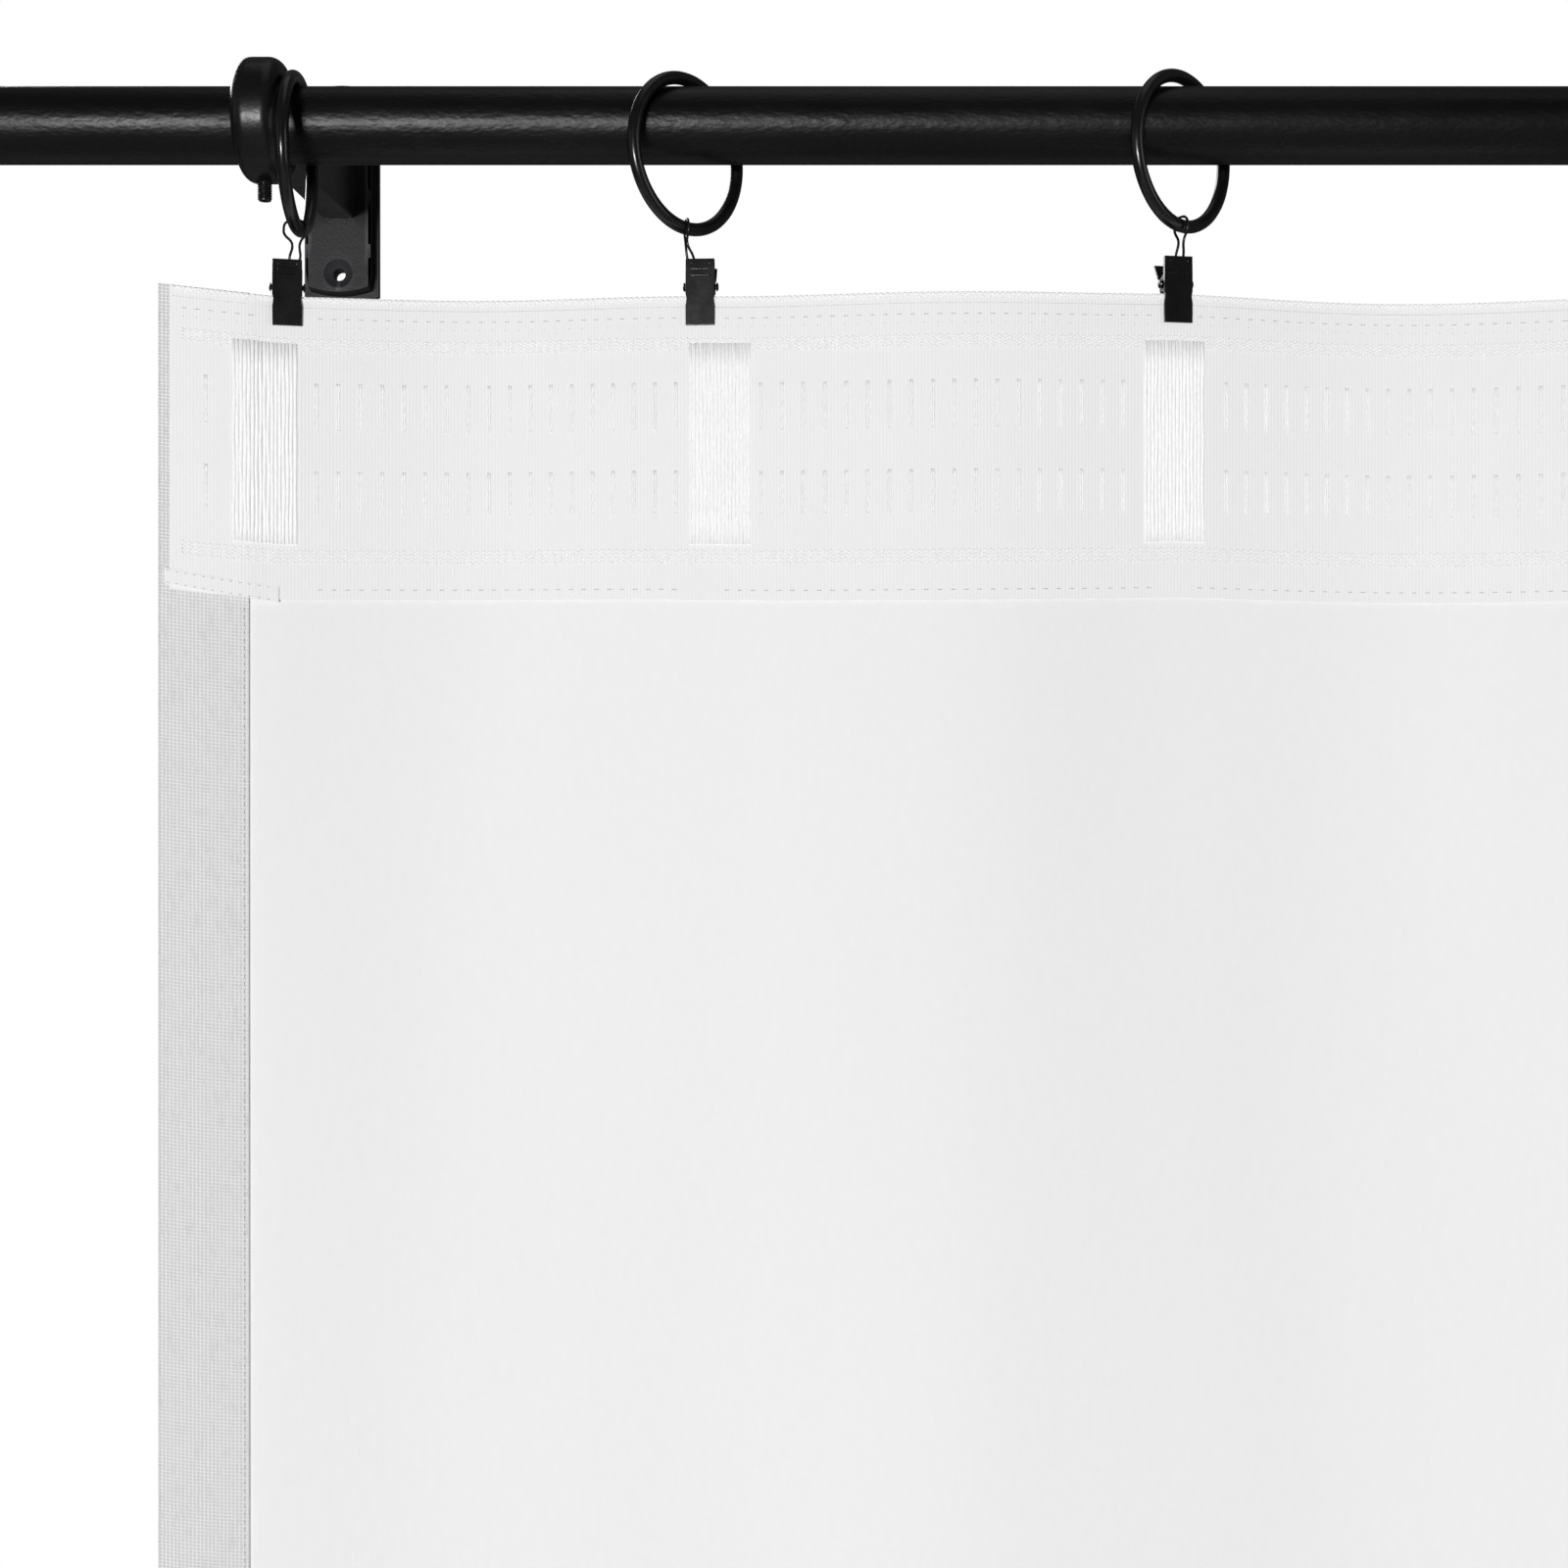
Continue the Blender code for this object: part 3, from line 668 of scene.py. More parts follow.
def frontJaw():
    side = (clip["width"] - clip["sheet"]) / 2
    face = -clip["innerFace"] - clip["sheet"] / 2
    height, middle = clip["above"] + clip["below"], (clip["above"] - clip["below"]) / 2
    letGo()
    bpy.ops.mesh.primitive_plane_add(size=1, location=(0, face, middle), rotation=facingRoom)
    jaw = named("frontJaw")
    jaw.scale = (2 * side, height, 1)
    bake(jaw)
    ear, waist = clip["earHeight"] / 2, clip["waistHeight"]
    for row in (ear, -ear, waist, waist * clip["waistEnd"]):
        edit(jaw)
        bpy.ops.mesh.bisect(plane_co=(0, 0, row), plane_no=(0, 0, 1))
        letGo()
    edit(jaw, "VERT", lambda vertex: abs(vertex.co.z - waist) < 1e-5)
    bpy.ops.transform.resize(value=(1 - clip["waist"] / side, 1, 1), center_override=(0, 0, 0))
    letGo()
    editEdges(jaw, lambda end: abs(abs(end.x) - side) < clip["waist"] * 1.1)
    bpy.ops.mesh.extrude_region_move(TRANSFORM_OT_translate={"value": (0, clip["flange"], 0)})
    letGo()
    rim = face + clip["flange"]
    editEdges(jaw, lambda end: abs(end.y - rim) < 1e-5 and abs(end.z) < ear + 1e-5)
    bpy.ops.mesh.extrude_region_move(TRANSFORM_OT_translate={"value": (0, clip["earReach"] - rim, 0)})
    bpy.ops.transform.resize(value=(1, 1, clip["earTaper"]), center_override=(0, 0, 0))
    turnFacesOut()
    foldSheet(jaw, clip["sheet"])
    outer = face - clip["sheet"] / 2
    half, radius = side - clip["ridgeInset"], clip["ridge"]
    beadEnd = [(0, half), (radius * 0.7, half - radius * 0.3), (radius, half - radius)]
    beadProfile = beadEnd + [(across, -along) for across, along in reversed(beadEnd)]
    for height in clip["ridgeHeights"]:
        bead = lathe("ridge", beadProfile, 16)
        put(bead, (0, outer + radius * 0.5, height), alongRod)
        combine(jaw, bead, "UNION")
    pitRadius = clip["dimple"]
    for sign in (-1, 1):
        pit = lathe("pit", rounding((0, 0), pitRadius, 90, -90, 8), 20)
        put(pit, (sign * clip["dimpleAside"], outer - pitRadius * 0.45, clip["dimpleHeight"]))
        combine(jaw, pit, "DIFFERENCE")
    cutPinHole(jaw)
    return jaw


def rearJaw():
    # a bent strip: turned-out lip, grip, step back to the pin, thumb lever
    grip, back, up, below = clip["grip"], clip["rearBack"], clip["leverUp"], clip["below"]
    bend = clip["earHeight"] * 0.45
    path = [
        (grip + 0.0012, 0.0003 - below), (grip + 0.0003, 0.0008 - below),
        (grip, 0.0013 - below), (grip + 0.0002, -below * 0.72),
        (grip + 0.0006, -below * 0.55), (grip + 0.0016, -below * 0.40),
        (back - 0.0004, -below * 0.27), (back, -below * 0.20), (back, bend * 0.7),
        (back + 0.0004, bend + 0.0004), (back + 0.0021, bend + (up - bend) * 0.45),
        (clip["leverBack"] - 0.0008, up - 0.0008), (clip["leverBack"], up),
    ]
    half = clip["jawHalf"]
    letGo()
    bpy.ops.mesh.primitive_plane_add(size=1)
    jaw = named("rearJaw")
    start, end = path[0], path[1]
    for vertex in jaw.data.vertices:
        y, z = start if vertex.co.y < 0 else end
        vertex.co = (2 * half * vertex.co.x, y, z)
    for here, there in zip(path[1:], path[2:]):
        editEdges(jaw, lambda end: abs(end.z - here[1]) < 1e-6)
        bpy.ops.mesh.extrude_region_move(
            TRANSFORM_OT_translate={"value": (0, there[0] - here[0], there[1] - here[1])}
        )
        letGo()
    for vertex in jaw.data.vertices:
        if vertex.co.z > bend:
            vertex.co.x *= clip["leverHalf"] / half
    edit(jaw, "EDGE", lambda edge: abs(edgeSpan(jaw, edge).x) < 1e-6 and all(
        abs(end.y - back) < 1e-6 for end in edgeEnds(jaw, edge)))
    earLength = back + clip["pin"] + clip["rearEarPast"]
    bpy.ops.mesh.extrude_region_move(TRANSFORM_OT_translate={"value": (0, -earLength, 0)})
    bpy.ops.transform.resize(value=(1, 1, clip["rearEarTaper"]), center_override=(0, 0, 0))
    turnFacesOut()
    foldSheet(jaw, clip["sheet"] * clip["rearSheet"])
    cutPinHole(jaw)
    return jaw


def clipPin():
    half = clip["width"] / 2 + touchGap
    head, shank, length = clip["pinHead"], clip["pin"], clip["pinHeadLength"]
    upper = [(0, half + length), (head * 0.6, half + length * 0.93), (head * 0.9, half + length * 0.6),
             (head, half), (shank, half)]
    return lathe("clipPin", upper + [(radius, -height) for radius, height in reversed(upper)], 32)


def bailPath(n, pin, pinTurn):
    # from the crown over the ring, down one leg, under the pin and back up the other
    ringNode = "ring_%d" % n
    low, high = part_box(ringNode)
    centre = (low + high) / 2
    ringAt = Vector((centre.x, centre.y, low.z + ringLook["wire"]))
    square = -math.degrees(ringTurn(ringNode))
    around = ringLook["wire"] + bailLook["gap"] + bailLook["wire"]
    turn, half, shift = loopStance.get(n, (square, around + bailLook["room"], 0.0))
    loop = Vector((math.cos(math.radians(turn)), math.sin(math.radians(turn)), 0))
    points = []
    for step in range(9):
        angle = math.radians(22.5 * step)
        across = math.copysign(abs(math.cos(angle)) ** 0.8, math.cos(angle))
        rise = Vector((0, 0, around * math.sin(angle) ** 0.8))
        points.append(ringAt + loop * (shift + half * across) + rise)
    neckTurn = math.radians(max(-bailLook["maxNeckTurn"], min(bailLook["maxNeckTurn"], turn)))
    neckWay = Vector((math.cos(neckTurn), math.sin(neckTurn), 0))
    aside = ringAt.x - pin.x
    neckAt = pin + Vector((aside * bailLook["neckLean"], 0, clip["above"] + bailLook["neckRise"]))
    kinkAt = ringAt + loop * shift * 0.6 - Vector((0, 0, bailLook["kinkDrop"]))
    crownFoot = ringAt + loop * shift - Vector((0, 0, bailLook["crownDrop"]))
    left = [crownFoot - loop * half * 0.96, kinkAt - loop * bailLook["kink"],
            neckAt - neckWay * bailLook["neck"]]
    right = [neckAt + neckWay * bailLook["neck"], kinkAt + loop * bailLook["kink"],
             crownFoot + loop * half * 0.96]
    bowX = max(-bailLook["bowShift"], min(bailLook["bowShift"], aside * bailLook["bowLean"]))
    under = clip["pin"] + bailLook["gap"] + bailLook["wire"]
    spin = Matrix.Rotation(pinTurn, 3, "Z")
    bowShape = ((-1, 1, 3.0), (-1, 1, 0), (-0.6, 0.72, -0.72), (0, 0, -1.05), (0.6, -0.72, -0.72),
                (1, -1, 0), (1, -1, 3.0))
    bow = [pin + spin @ Vector((bowX + side * bailLook["bow"], under * y, under * z))
           for side, y, z in bowShape]
    return points + left + bow + right, neckAt, crownFoot


def makeBail(n, pin, pinTurn):
    node = "bail_%d" % n
    points, neckAt, crownFoot = bailPath(n, pin, pinTurn)
    letGo()
    bpy.ops.curve.primitive_bezier_circle_add(radius=0.001)
    loopWire = named(node + "_wire")
    spline = loopWire.data.splines[0]
    spline.bezier_points.add(len(points) - len(spline.bezier_points))
    for knot, where in zip(spline.bezier_points, points):
        knot.co = where
        knot.handle_left_type = knot.handle_right_type = "AUTO"
    loopWire.data.bevel_depth = bailLook["wire"]
    loopWire.data.bevel_resolution = 2
    loopWire.data.resolution_u = 5
    hold(loopWire)
    bpy.ops.object.convert(target="MESH")
    clipBody, ringBody = bodyOf(node), bodyOf("ring_%d" % n)
    settle(loopWire, blackSteel, node, 60, rides=clipBody == ringBody)
    if clipBody != ringBody:
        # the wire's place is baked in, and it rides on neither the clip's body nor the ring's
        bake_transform(loopWire)
        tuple(neckAt)
        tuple(crownFoot)


frontModel, rearModel, pinModel = frontJaw(), rearJaw(), clipPin()
for n in hangers:
    hinge = joints["clip_%d_open" % n]
    pin = Vector(hinge["pos_m"])
    pinTurn = math.atan2(hinge["axis"][1], hinge["axis"][0])
    makeBail(n, pin, pinTurn)
    square = (0, 0, pinTurn)
    lying = (0, math.pi / 2, pinTurn)
    for model, kind, turn in ((frontModel, "front_jaw", square), (rearModel, "rear_jaw", square),
                              (pinModel, "clip_pin", lying)):
        node = "%s_%d" % (kind, n)
        piece = copyOf(model, node + "_steel")
        put(piece, pin, turn)
        settle(piece, blackSteel, node, 35)
for model in (frontModel, rearModel, pinModel):
    bpy.data.objects.remove(model, do_unlink=True)
print("clips made")

# the cloth's finishes follow its own flat map, in metres
# the pale thread colour serves the second stitch row and also paints the shade along the tape's fold line
clothLook = {"coated": (0.865, 0.865, 0.865), "linen": (0.87, 0.87, 0.87), "tape": (0.865, 0.865, 0.865),
             "cord": (0.975, 0.975, 0.975), "thread": (0.50, 0.50, 0.51), "paleThreadAndFoldShade": (0.72, 0.72, 0.72),
             "roughness": 0.86, "linenPitch": 0.00128, "coatedPitch": 0.00046, "tapeRib": 0.00115,
             "tapePick": 0.00052}
flatMap = "flatCloth"


def flatCoordinates(finish, scale=(1, 1, 1)):
    where = addNode(finish, "ShaderNodeUVMap", uv_map=flatMap)
    mapping = addNode(finish, "ShaderNodeMapping", {"Scale": scale})
    wire(finish, where.outputs["UV"], mapping.inputs["Vector"])
    return mapping.outputs["Vector"]


def threadLines(finish, vector, pitch, direction, wander=0.0, wanderScale=2.0):
    # even threads side by side, one each pitch, in metres
    lines = addNode(finish, "ShaderNodeTexWave", {
        "Scale": math.pi / (10 * pitch), "Distortion": wander, "Detail Scale": wanderScale,
    }, wave_type="BANDS", bands_direction=direction)
    wire(finish, vector, lines.inputs["Vector"])
    return lines.outputs["Fac"]


def makeCoatedCloth():
    colour = clothLook["coated"]
    finish = newFinish("coatedCloth", colour, clothLook["roughness"], specular=0.25)
    flat = flatCoordinates(finish)
    broad = blotches(finish, flatCoordinates(finish, (1.0, 0.16, 1.0)), 14.0, 2.0)
    fine = blotches(finish, flatCoordinates(finish, (1.0, 0.3, 1.0)), 420.0, 3.0)
    shade = mixOf(finish, "ADD", mixOf(finish, "MULTIPLY", broad, 0.6), mixOf(finish, "MULTIPLY", fine, 0.4))
    tint(finish, shade, [c * 0.972 for c in colour], [c * 1.008 for c in colour])
    across = threadLines(finish, flat, clothLook["coatedPitch"], "X", 0.6, 90.0)
    down = threadLines(finish, flat, clothLook["coatedPitch"] * 1.1, "Y", 0.6, 90.0)
    weave = relief(finish, mixOf(finish, "ADD", across, down), 0.00003, 0.5)
    relief(finish, fine, 0.00008, 0.5, under=weave)
    return finish


def makeLinenWeave():
    colour = clothLook["linen"]
    finish = newFinish("linenWeave", colour, clothLook["roughness"], specular=0.2)
    flat = flatCoordinates(finish)
    pitch = clothLook["linenPitch"]
    across = threadLines(finish, flat, pitch, "X", 1.6, 260.0)
    down = threadLines(finish, flat, pitch * 0.9, "Y", 1.6, 260.0)
    slubs = blotches(finish, flatCoordinates(finish, (1.0, 0.22, 1.0)), 620.0, 2.0)
    weave = mixOf(finish, "MAXIMUM", mixOf(finish, "MULTIPLY", across, slubs),
                  mixOf(finish, "MULTIPLY", down, mixOf(finish, "SUBTRACT", 1.0, slubs)))
    tint(finish, weave, [c * 0.89 for c in colour], [c * 1.09 for c in colour], 0.12, 0.52)
    relief(finish, weave, 0.00035, 1.0)
    return finish


def makeTapeWeave():
    colour = clothLook["tape"]
    finish = newFinish("tapeWeave", colour, clothLook["roughness"], specular=0.25)
    flat = flatCoordinates(finish)
    ribs = threadLines(finish, flat, clothLook["tapeRib"], "X", 0.5, 60.0)
    picks = threadLines(finish, flat, clothLook["tapePick"], "Y", 0.8, 120.0)
    patches = blotches(finish, flatCoordinates(finish, (1.0, 0.5, 1.0)), 60.0, 3.0)
    worn = mixOf(finish, "MULTIPLY", ribs, patches)
    tint(finish, worn, [c * 0.968 for c in colour], [c * 1.02 for c in colour], 0.05, 0.5)
    ribbed = relief(finish, worn, 0.00012, 0.8)
    relief(finish, picks, 0.00003, 0.5, under=ribbed)
    return finish


def makeYarn(name, colour, twist):
    finish = newFinish(name, colour, 0.8, specular=0.3)
    where = objectCoordinates(finish, (1.0, 1.0, 0.35))
    fuzz = blotches(finish, where, twist, 2.0)
    tint(finish, fuzz, [c * 0.93 for c in colour], [min(1.0, c * 1.03) for c in colour])
    relief(finish, fuzz, 0.00006, 0.6)
    return finish


coatedCloth, linenWeave, tapeWeave = makeCoatedCloth(), makeLinenWeave(), makeTapeWeave()
cordWhite = makeYarn("cordWhite", clothLook["cord"], 1500.0)
threadGrey = makeYarn("threadGrey", clothLook["thread"], 2600.0)
paleYarnAndFoldShade = makeYarn("paleYarnAndFoldShade", clothLook["paleThreadAndFoldShade"], 2600.0)
print("cloth finishes made")

# one panel, hemmed at the sides and the bottom
curtain = {"thickness": 0.0008, "middle": -0.0008, "layerStep": 0.00095, "belowPin": 0.0033,
           "cornerLift": 0.0040, "cornerReach": 0.042, "endCurl": 4.0, "sideHem": 0.0300,
           "bottomHem": 0.0750, "columns": 300, "rows": 92, "hemColumns": 6, "foldSteps": 5, "hemRows": 5,
           "swayFrom": 0.105, "swayOver": 0.70, "sway": 0.0016, "spread": -0.45, "footRoom": 0.0015,
           "waves": (0.006, -0.007, 0.006, -0.007, 0.007, -0.006, 0.007, -0.006),
           "sags": (-0.0009, 0.0013, 0.0004, 0.0012, 0.0003, 0.0010, 0.0002, 0.0012)}
hinges = [joints["clip_%d_open" % n] for n in hangers]
clipPlaces = [Vector(hinge["pos_m"]) for hinge in hinges]
clipSlopes = [hinge["axis"][1] / hinge["axis"][0] for hinge in hinges]
clipLine = [place.x for place in clipPlaces]
clothLow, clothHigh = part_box("curtain_panel")
clothLeft, clothRight = clothLow.x, clothHigh.x
clothDrop = clothHigh.z - clothLow.z - curtain["footRoom"]


def eased(value):
    value = max(0.0, min(1.0, value))
    return value * value * (3 - 2 * value)


def spanAt(x):
    n = 0
    while n < len(clipLine) - 2 and x > clipLine[n + 1]:
        n += 1
    return n, clipLine[n], clipLine[n + 1]


def planShape(x):
    # straight through each clip and bowed between them
    n, start, end = spanAt(x)
    if x <= start:
        return clipSlopes[0] * (x - start) + curtain["endCurl"] * (x - start) ** 2
    if x >= end:
        return clipSlopes[-1] * (x - end) + curtain["endCurl"] * (x - end) ** 2
    span, share = end - start, (x - start) / (end - start)
    straight = span * share * (1 - share) * (clipSlopes[n] * (1 - share) - clipSlopes[n + 1] * share)
    return straight + curtain["waves"][n] * (1 - math.cos(2 * math.pi * share)) / 2


def topAt(x):
    n, start, end = spanAt(x)
    share = max(0.0, min(1.0, (x - start) / (end - start)))
    height = clipPlaces[n].z * (1 - share) + clipPlaces[n + 1].z * share - curtain["belowPin"]
    height -= curtain["sags"][n] * math.sin(math.pi * share)
    beyond = max(clipLine[0] - x, x - clipLine[-1], 0)
    return height + curtain["cornerLift"] * (beyond / curtain["cornerReach"]) ** 1.4


def clothDepth(x, drop):
    # the folds open a little and wander as they fall
    loose = eased((drop - curtain["swayFrom"]) / curtain["swayOver"])
    wander = math.sin(7.3 * x + 1.1 + 1.3 * drop) * math.sin(19.0 * x + 0.7 - 0.9 * drop)
    return planShape(x) * (1 + curtain["spread"] * loose) + curtain["sway"] * loose * wander


def inHem(x, run):
    # 1 over the side hems, falling to 0 over the given run inside them
    inside = min(x - clothLeft, clothRight - x) - curtain["sideHem"]
    return 1 - eased(inside / run)


def clothColumns():
    # (x, layer offset, flat width so far) from one hem's inner edge round to the other's
    turn = curtain["layerStep"] / 2
    front = curtain["middle"] - curtain["layerStep"]
    hem, steps = curtain["sideHem"], curtain["foldSteps"]
    columns = [(clothLeft + hem - (hem - turn) * k / curtain["hemColumns"], front)
               for k in range(curtain["hemColumns"] + 1)]
    for k in range(1, steps):
        angle = math.pi * k / steps
        columns.append((clothLeft + turn - turn * math.sin(angle), front + turn * (1 - math.cos(angle))))
    left, right = clothLeft + turn, clothRight - turn
    columns += [(left + (right - left) * k / curtain["columns"], curtain["middle"])
                for k in range(curtain["columns"] + 1)]
    for k in range(1, steps):
        angle = math.pi * k / steps
        columns.append((right + turn * math.sin(angle), curtain["middle"] - turn * (1 - math.cos(angle))))
    columns += [(right - (hem - turn) * k / curtain["hemColumns"], front)
                for k in range(curtain["hemColumns"] + 1)]
    return columns


def clothRows():
    # (kind, value) from the top edge down, round the bottom fold and up the hem
    hem, count, steps = curtain["bottomHem"], curtain["hemRows"], curtain["foldSteps"]
    rows = [("down", clothDrop * k / curtain["rows"]) for k in range(curtain["rows"] + 1)]
    rows += [("fold", math.pi * k / steps) for k in range(1, steps)]
    return rows + [("up", hem * k / count) for k in range(count + 1)]


def clothPoint(column, row):
    x, layer = column
    kind, value = row
    drop = {"down": value, "fold": clothDrop, "up": clothDrop - value}[kind]
    depth = clothDepth(x, drop)
    top = topAt(x)
    foot = clothLow.z + curtain["footRoom"]
    z = top + (foot - top) * drop / clothDrop
    if kind != "down":
        fold = curtain["middle"] - curtain["layerStep"] / 2 - curtain["layerStep"] * inHem(x, 0.02)
        radius = layer - fold
        if kind == "up":
            layer = fold - radius
        else:
            layer = fold + radius * math.cos(value)
            z -= abs(radius) * math.sin(value)
    return (x, rodAxis.y + depth + layer, z)


def layCloth(name, columns, rows, place):
    # a grid whose points go to their places, with its flat size kept as its map
    letGo()
    bpy.ops.mesh.primitive_grid_add(x_subdivisions=len(columns) - 1, y_subdivisions=len(rows) - 1, size=1)
    sheet = named(name)
    spots = np.array([[place(column, row) for column in columns] for row in reversed(rows)])
    wide = np.linalg.norm(np.diff(spots[len(rows) // 2], axis=0), axis=1)
    tall = np.linalg.norm(np.diff(spots[:, len(columns) // 2], axis=0), axis=1)
    acrossFlat = np.concatenate([[0], np.cumsum(wide)])
    downFlat = np.concatenate([[0], np.cumsum(tall)])
    sheet.data.vertices.foreach_set("co", spots.reshape(-1, 3).ravel())
    flat = sheet.data.uv_layers[0]
    flat.name = flatMap
    for corner in sheet.data.loops:
        row, column = divmod(corner.vertex_index, len(columns))
        flat.data[corner.index].uv = (acrossFlat[column], downFlat[row])
    sheet.data.update()
    return sheet, (float(acrossFlat[-1]), float(downFlat[-1]))


def thicken(sheet, thickness, faceFinish, backFinish):
    sheet.data.materials.append(faceFinish)
    sheet.data.materials.append(backFinish)
    solid = sheet.modifiers.new("thickness", "SOLIDIFY")
    solid.thickness = thickness
    solid.offset = 0.0
    solid.material_offset = 1
    solid.material_offset_rim = 0
    applyModifiers(sheet)
    bpy.ops.object.shade_smooth_by_angle(angle=math.radians(50))


def hang(piece):
    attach(piece, "curtain")
    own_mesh(piece)


def makeCurtain():
    sheet, flat = layCloth("curtain_cloth", clothColumns(), clothRows(), clothPoint)
    thicken(sheet, curtain["thickness"], coatedCloth, linenWeave)
    hang(sheet)
    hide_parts("curtain_panel")
    return sheet, flat


curtainCloth, curtainFlat = makeCurtain()
print("curtain cloth made, flat %.3f x %.3f m" % curtainFlat)

# the woven tape along the panel's top
tapeLow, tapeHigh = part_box("heading_tape")
tape = {"thickness": 0.0005, "middle": -0.00175, "overHem": 0.00080, "belowTop": 0.0005, "columns": 420,
        "rows": 16, "hemRun": 0.0058, "stitchRow": 0.0070, "secondRow": 0.0098, "stitch": 0.0017,
        "shortStitch": 0.0008, "stitchPitch": 0.0044, "stitchHeight": 0.00012, "clipRoom": 0.0072,
        "selvedge": 0.0019, "selvedgeDepth": 0.0011, "chevrons": ((0.0135, 0.0179), (0.0842, 0.0892)),
        "zigzag": 0.0024, "zigzagLines": 4, "zigzagRise": 0.00042, "thread": 0.00024,
        "cordFirst": 0.0007, "cordPitch": 0.15186, "cordSections": 9, "cords": 17, "cordWidth": 0.0208,
        "cordTop": 0.0153, "cordEnd": 0.0825, "cordRadius": 0.00062,
        "ladders": ((0.0285, 0.0445), (0.0580, 0.0725)), "ladderPitch": 0.0071, "ladderWidth": 0.0008,
        "lowerStitch": 0.0978, "foldShadeLine": 0.0034}
tapeHeight = tapeHigh.z - tapeLow.z
tabLook = {"inset": 0.0022155, "width": 0.0375, "top": 0.0943, "height": 0.0052, "slant": 0.0024,
           "thickness": 0.0004, "forward": 0.00052, "stitchInset": 0.0006, "stitchPitch": 0.0030,
           "stitch": 0.00128}
tapeLine = rodAxis.y + tape["middle"]
tabLeft = clothLeft + tabLook["inset"]


def tapeSpot(x, drop, forward=0.0):
    # a point on the tape's middle, or in front of it
    depth = planShape(x) - tape["overHem"] * inHem(x, tape["hemRun"])
    return (x, tapeLine + depth - forward, topAt(x) - tape["belowTop"] - drop)


def makeTape():
    xs = [tapeLow.x + (tapeHigh.x - tapeLow.x) * k / tape["columns"] for k in range(tape["columns"] + 1)]
    drops = [tapeHeight * k / tape["rows"] for k in range(tape["rows"] + 1)]
    sheet, flat = layCloth("heading_tape_woven", xs, drops, tapeSpot)
    thicken(sheet, tape["thickness"], tapeWeave, tapeWeave)
    hang(sheet)
    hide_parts("heading_tape")
    return sheet, flat


def makeTab():
    # a short folded strip of the tape, sewn on where its end is turned in
    columns = [tabLeft + tabLook["width"] * k / 20 for k in range(21)]
    drops = [tabLook["top"] + tabLook["height"] * k / 4 for k in range(5)]

    def place(x, drop):
        rise = tabLook["slant"] * (x - tabLeft) / tabLook["width"]
        return tapeSpot(x, drop + rise, tabLook["forward"])

    sheet, _ = layCloth("heading_tab", columns, drops, place)
    thicken(sheet, tabLook["thickness"], tapeWeave, tapeWeave)
    hang(sheet)
    return sheet, place


def runThreads(name, paths, radius, finish, resolution=0):
    # one yarn along each path, all in one piece
    letGo()
    bpy.ops.curve.primitive_bezier_curve_add()
    yarn = named(name)
    yarn.data.splines.clear()
    for path in paths:
        spline = yarn.data.splines.new("POLY")
        spline.points.add(len(path) - 1)
        spline.points.foreach_set("co", [value for spot in path for value in (*spot, 1.0)])
    yarn.data.dimensions = "3D"
    yarn.data.bevel_depth = radius
    yarn.data.bevel_resolution = resolution
    yarn.data.use_fill_caps = True
    hold(yarn)
    bpy.ops.object.convert(target="MESH")
    tidyMesh(yarn)
    bpy.ops.object.shade_smooth_by_angle(angle=math.radians(70))
    yarn.data.materials.clear()
    yarn.data.materials.append(finish)
    hang(yarn)
    return yarn


def alongTape(pitch, margin=0.004):
    count = int((tapeHigh.x - tapeLow.x - 2 * margin) / pitch)
    return [tapeLow.x + margin + pitch * k for k in range(count + 1)]


def clearOfCords(x, margin):
    share = (x - tape["cordFirst"]) / tape["cordPitch"]
    return abs(share - round(share)) * tape["cordPitch"] > tape["cordWidth"] / 2 + margin


def clearOfClips(x, margin):
    return all(abs(x - place) > margin for place in clipLine)


def makeChevrons():
    face = tape["thickness"] / 2
    paths = []
    for top, end in tape["chevrons"]:
        for line in range(tape["zigzagLines"]):
            drop = top + (end - top) * (line + 0.5) / tape["zigzagLines"]
            path = []
            for k, x in enumerate(alongTape(tape["zigzag"] / 2)):
                rise = tape["zigzagRise"] * (1 if k % 2 else -1)
                path.append(tapeSpot(x, drop + rise, face))
            paths.append(path)
    return runThreads("heading_chevrons", paths, tape["thread"], cordWhite)


def makeCords():
    face = tape["thickness"] / 2
    paths = []
    wander = np.random.default_rng(7)
    for section in range(tape["cordSections"]):
        centre = tape["cordFirst"] + tape["cordPitch"] * section
        for cord in range(tape["cords"]):
            x = centre + tape["cordWidth"] * ((cord + 0.5) / tape["cords"] - 0.5)
            phase, reach = wander.uniform(0, 6.28), wander.uniform(0.00008, 0.00026)
            path = []
            for k in range(9):
                drop = tape["cordTop"] + (tape["cordEnd"] - tape["cordTop"]) * k / 8
                aside = reach * math.sin(phase + 1.9 * k)
                path.append(tapeSpot(x + aside, drop, face - tape["cordRadius"] * 0.25))
            paths.append(path)
    return runThreads("heading_cords", paths, tape["cordRadius"], cordWhite, 1)


def makeLadders():
    face = tape["thickness"] / 2
    paths = []
    for top, end in tape["ladders"]:
        for x in alongTape(tape["ladderPitch"], 0.012):
            if not clearOfCords(x, 0.003):
                continue
            for side in (-1, 1):
                path = []
                for k in range(9):
                    sway = side * tape["ladderWidth"] * (0.35 + 0.3 * (k % 2))
                    path.append(tapeSpot(x + sway, top + (end - top) * k / 8, face))
                paths.append(path)
    return runThreads("heading_pockets", paths, tape["thread"] * 1.1, cordWhite)


def makeSelvedge():
    # two rows of small loops along the woven edge
    face = tape["thickness"] / 2
    paths = []
    for shift, top, end in ((0, 0.0, 0.7), (1, 0.6, 1.4)):
        path = []
        for k, x in enumerate(alongTape(tape["selvedge"] / 2, 0.001)):
            path.append(tapeSpot(x, tape["selvedgeDepth"] * (end if (k + shift) % 2 else top), face * 0.8))
        paths.append(path)
    return runThreads("heading_selvedge", paths, tape["thread"] * 1.25, cordWhite)


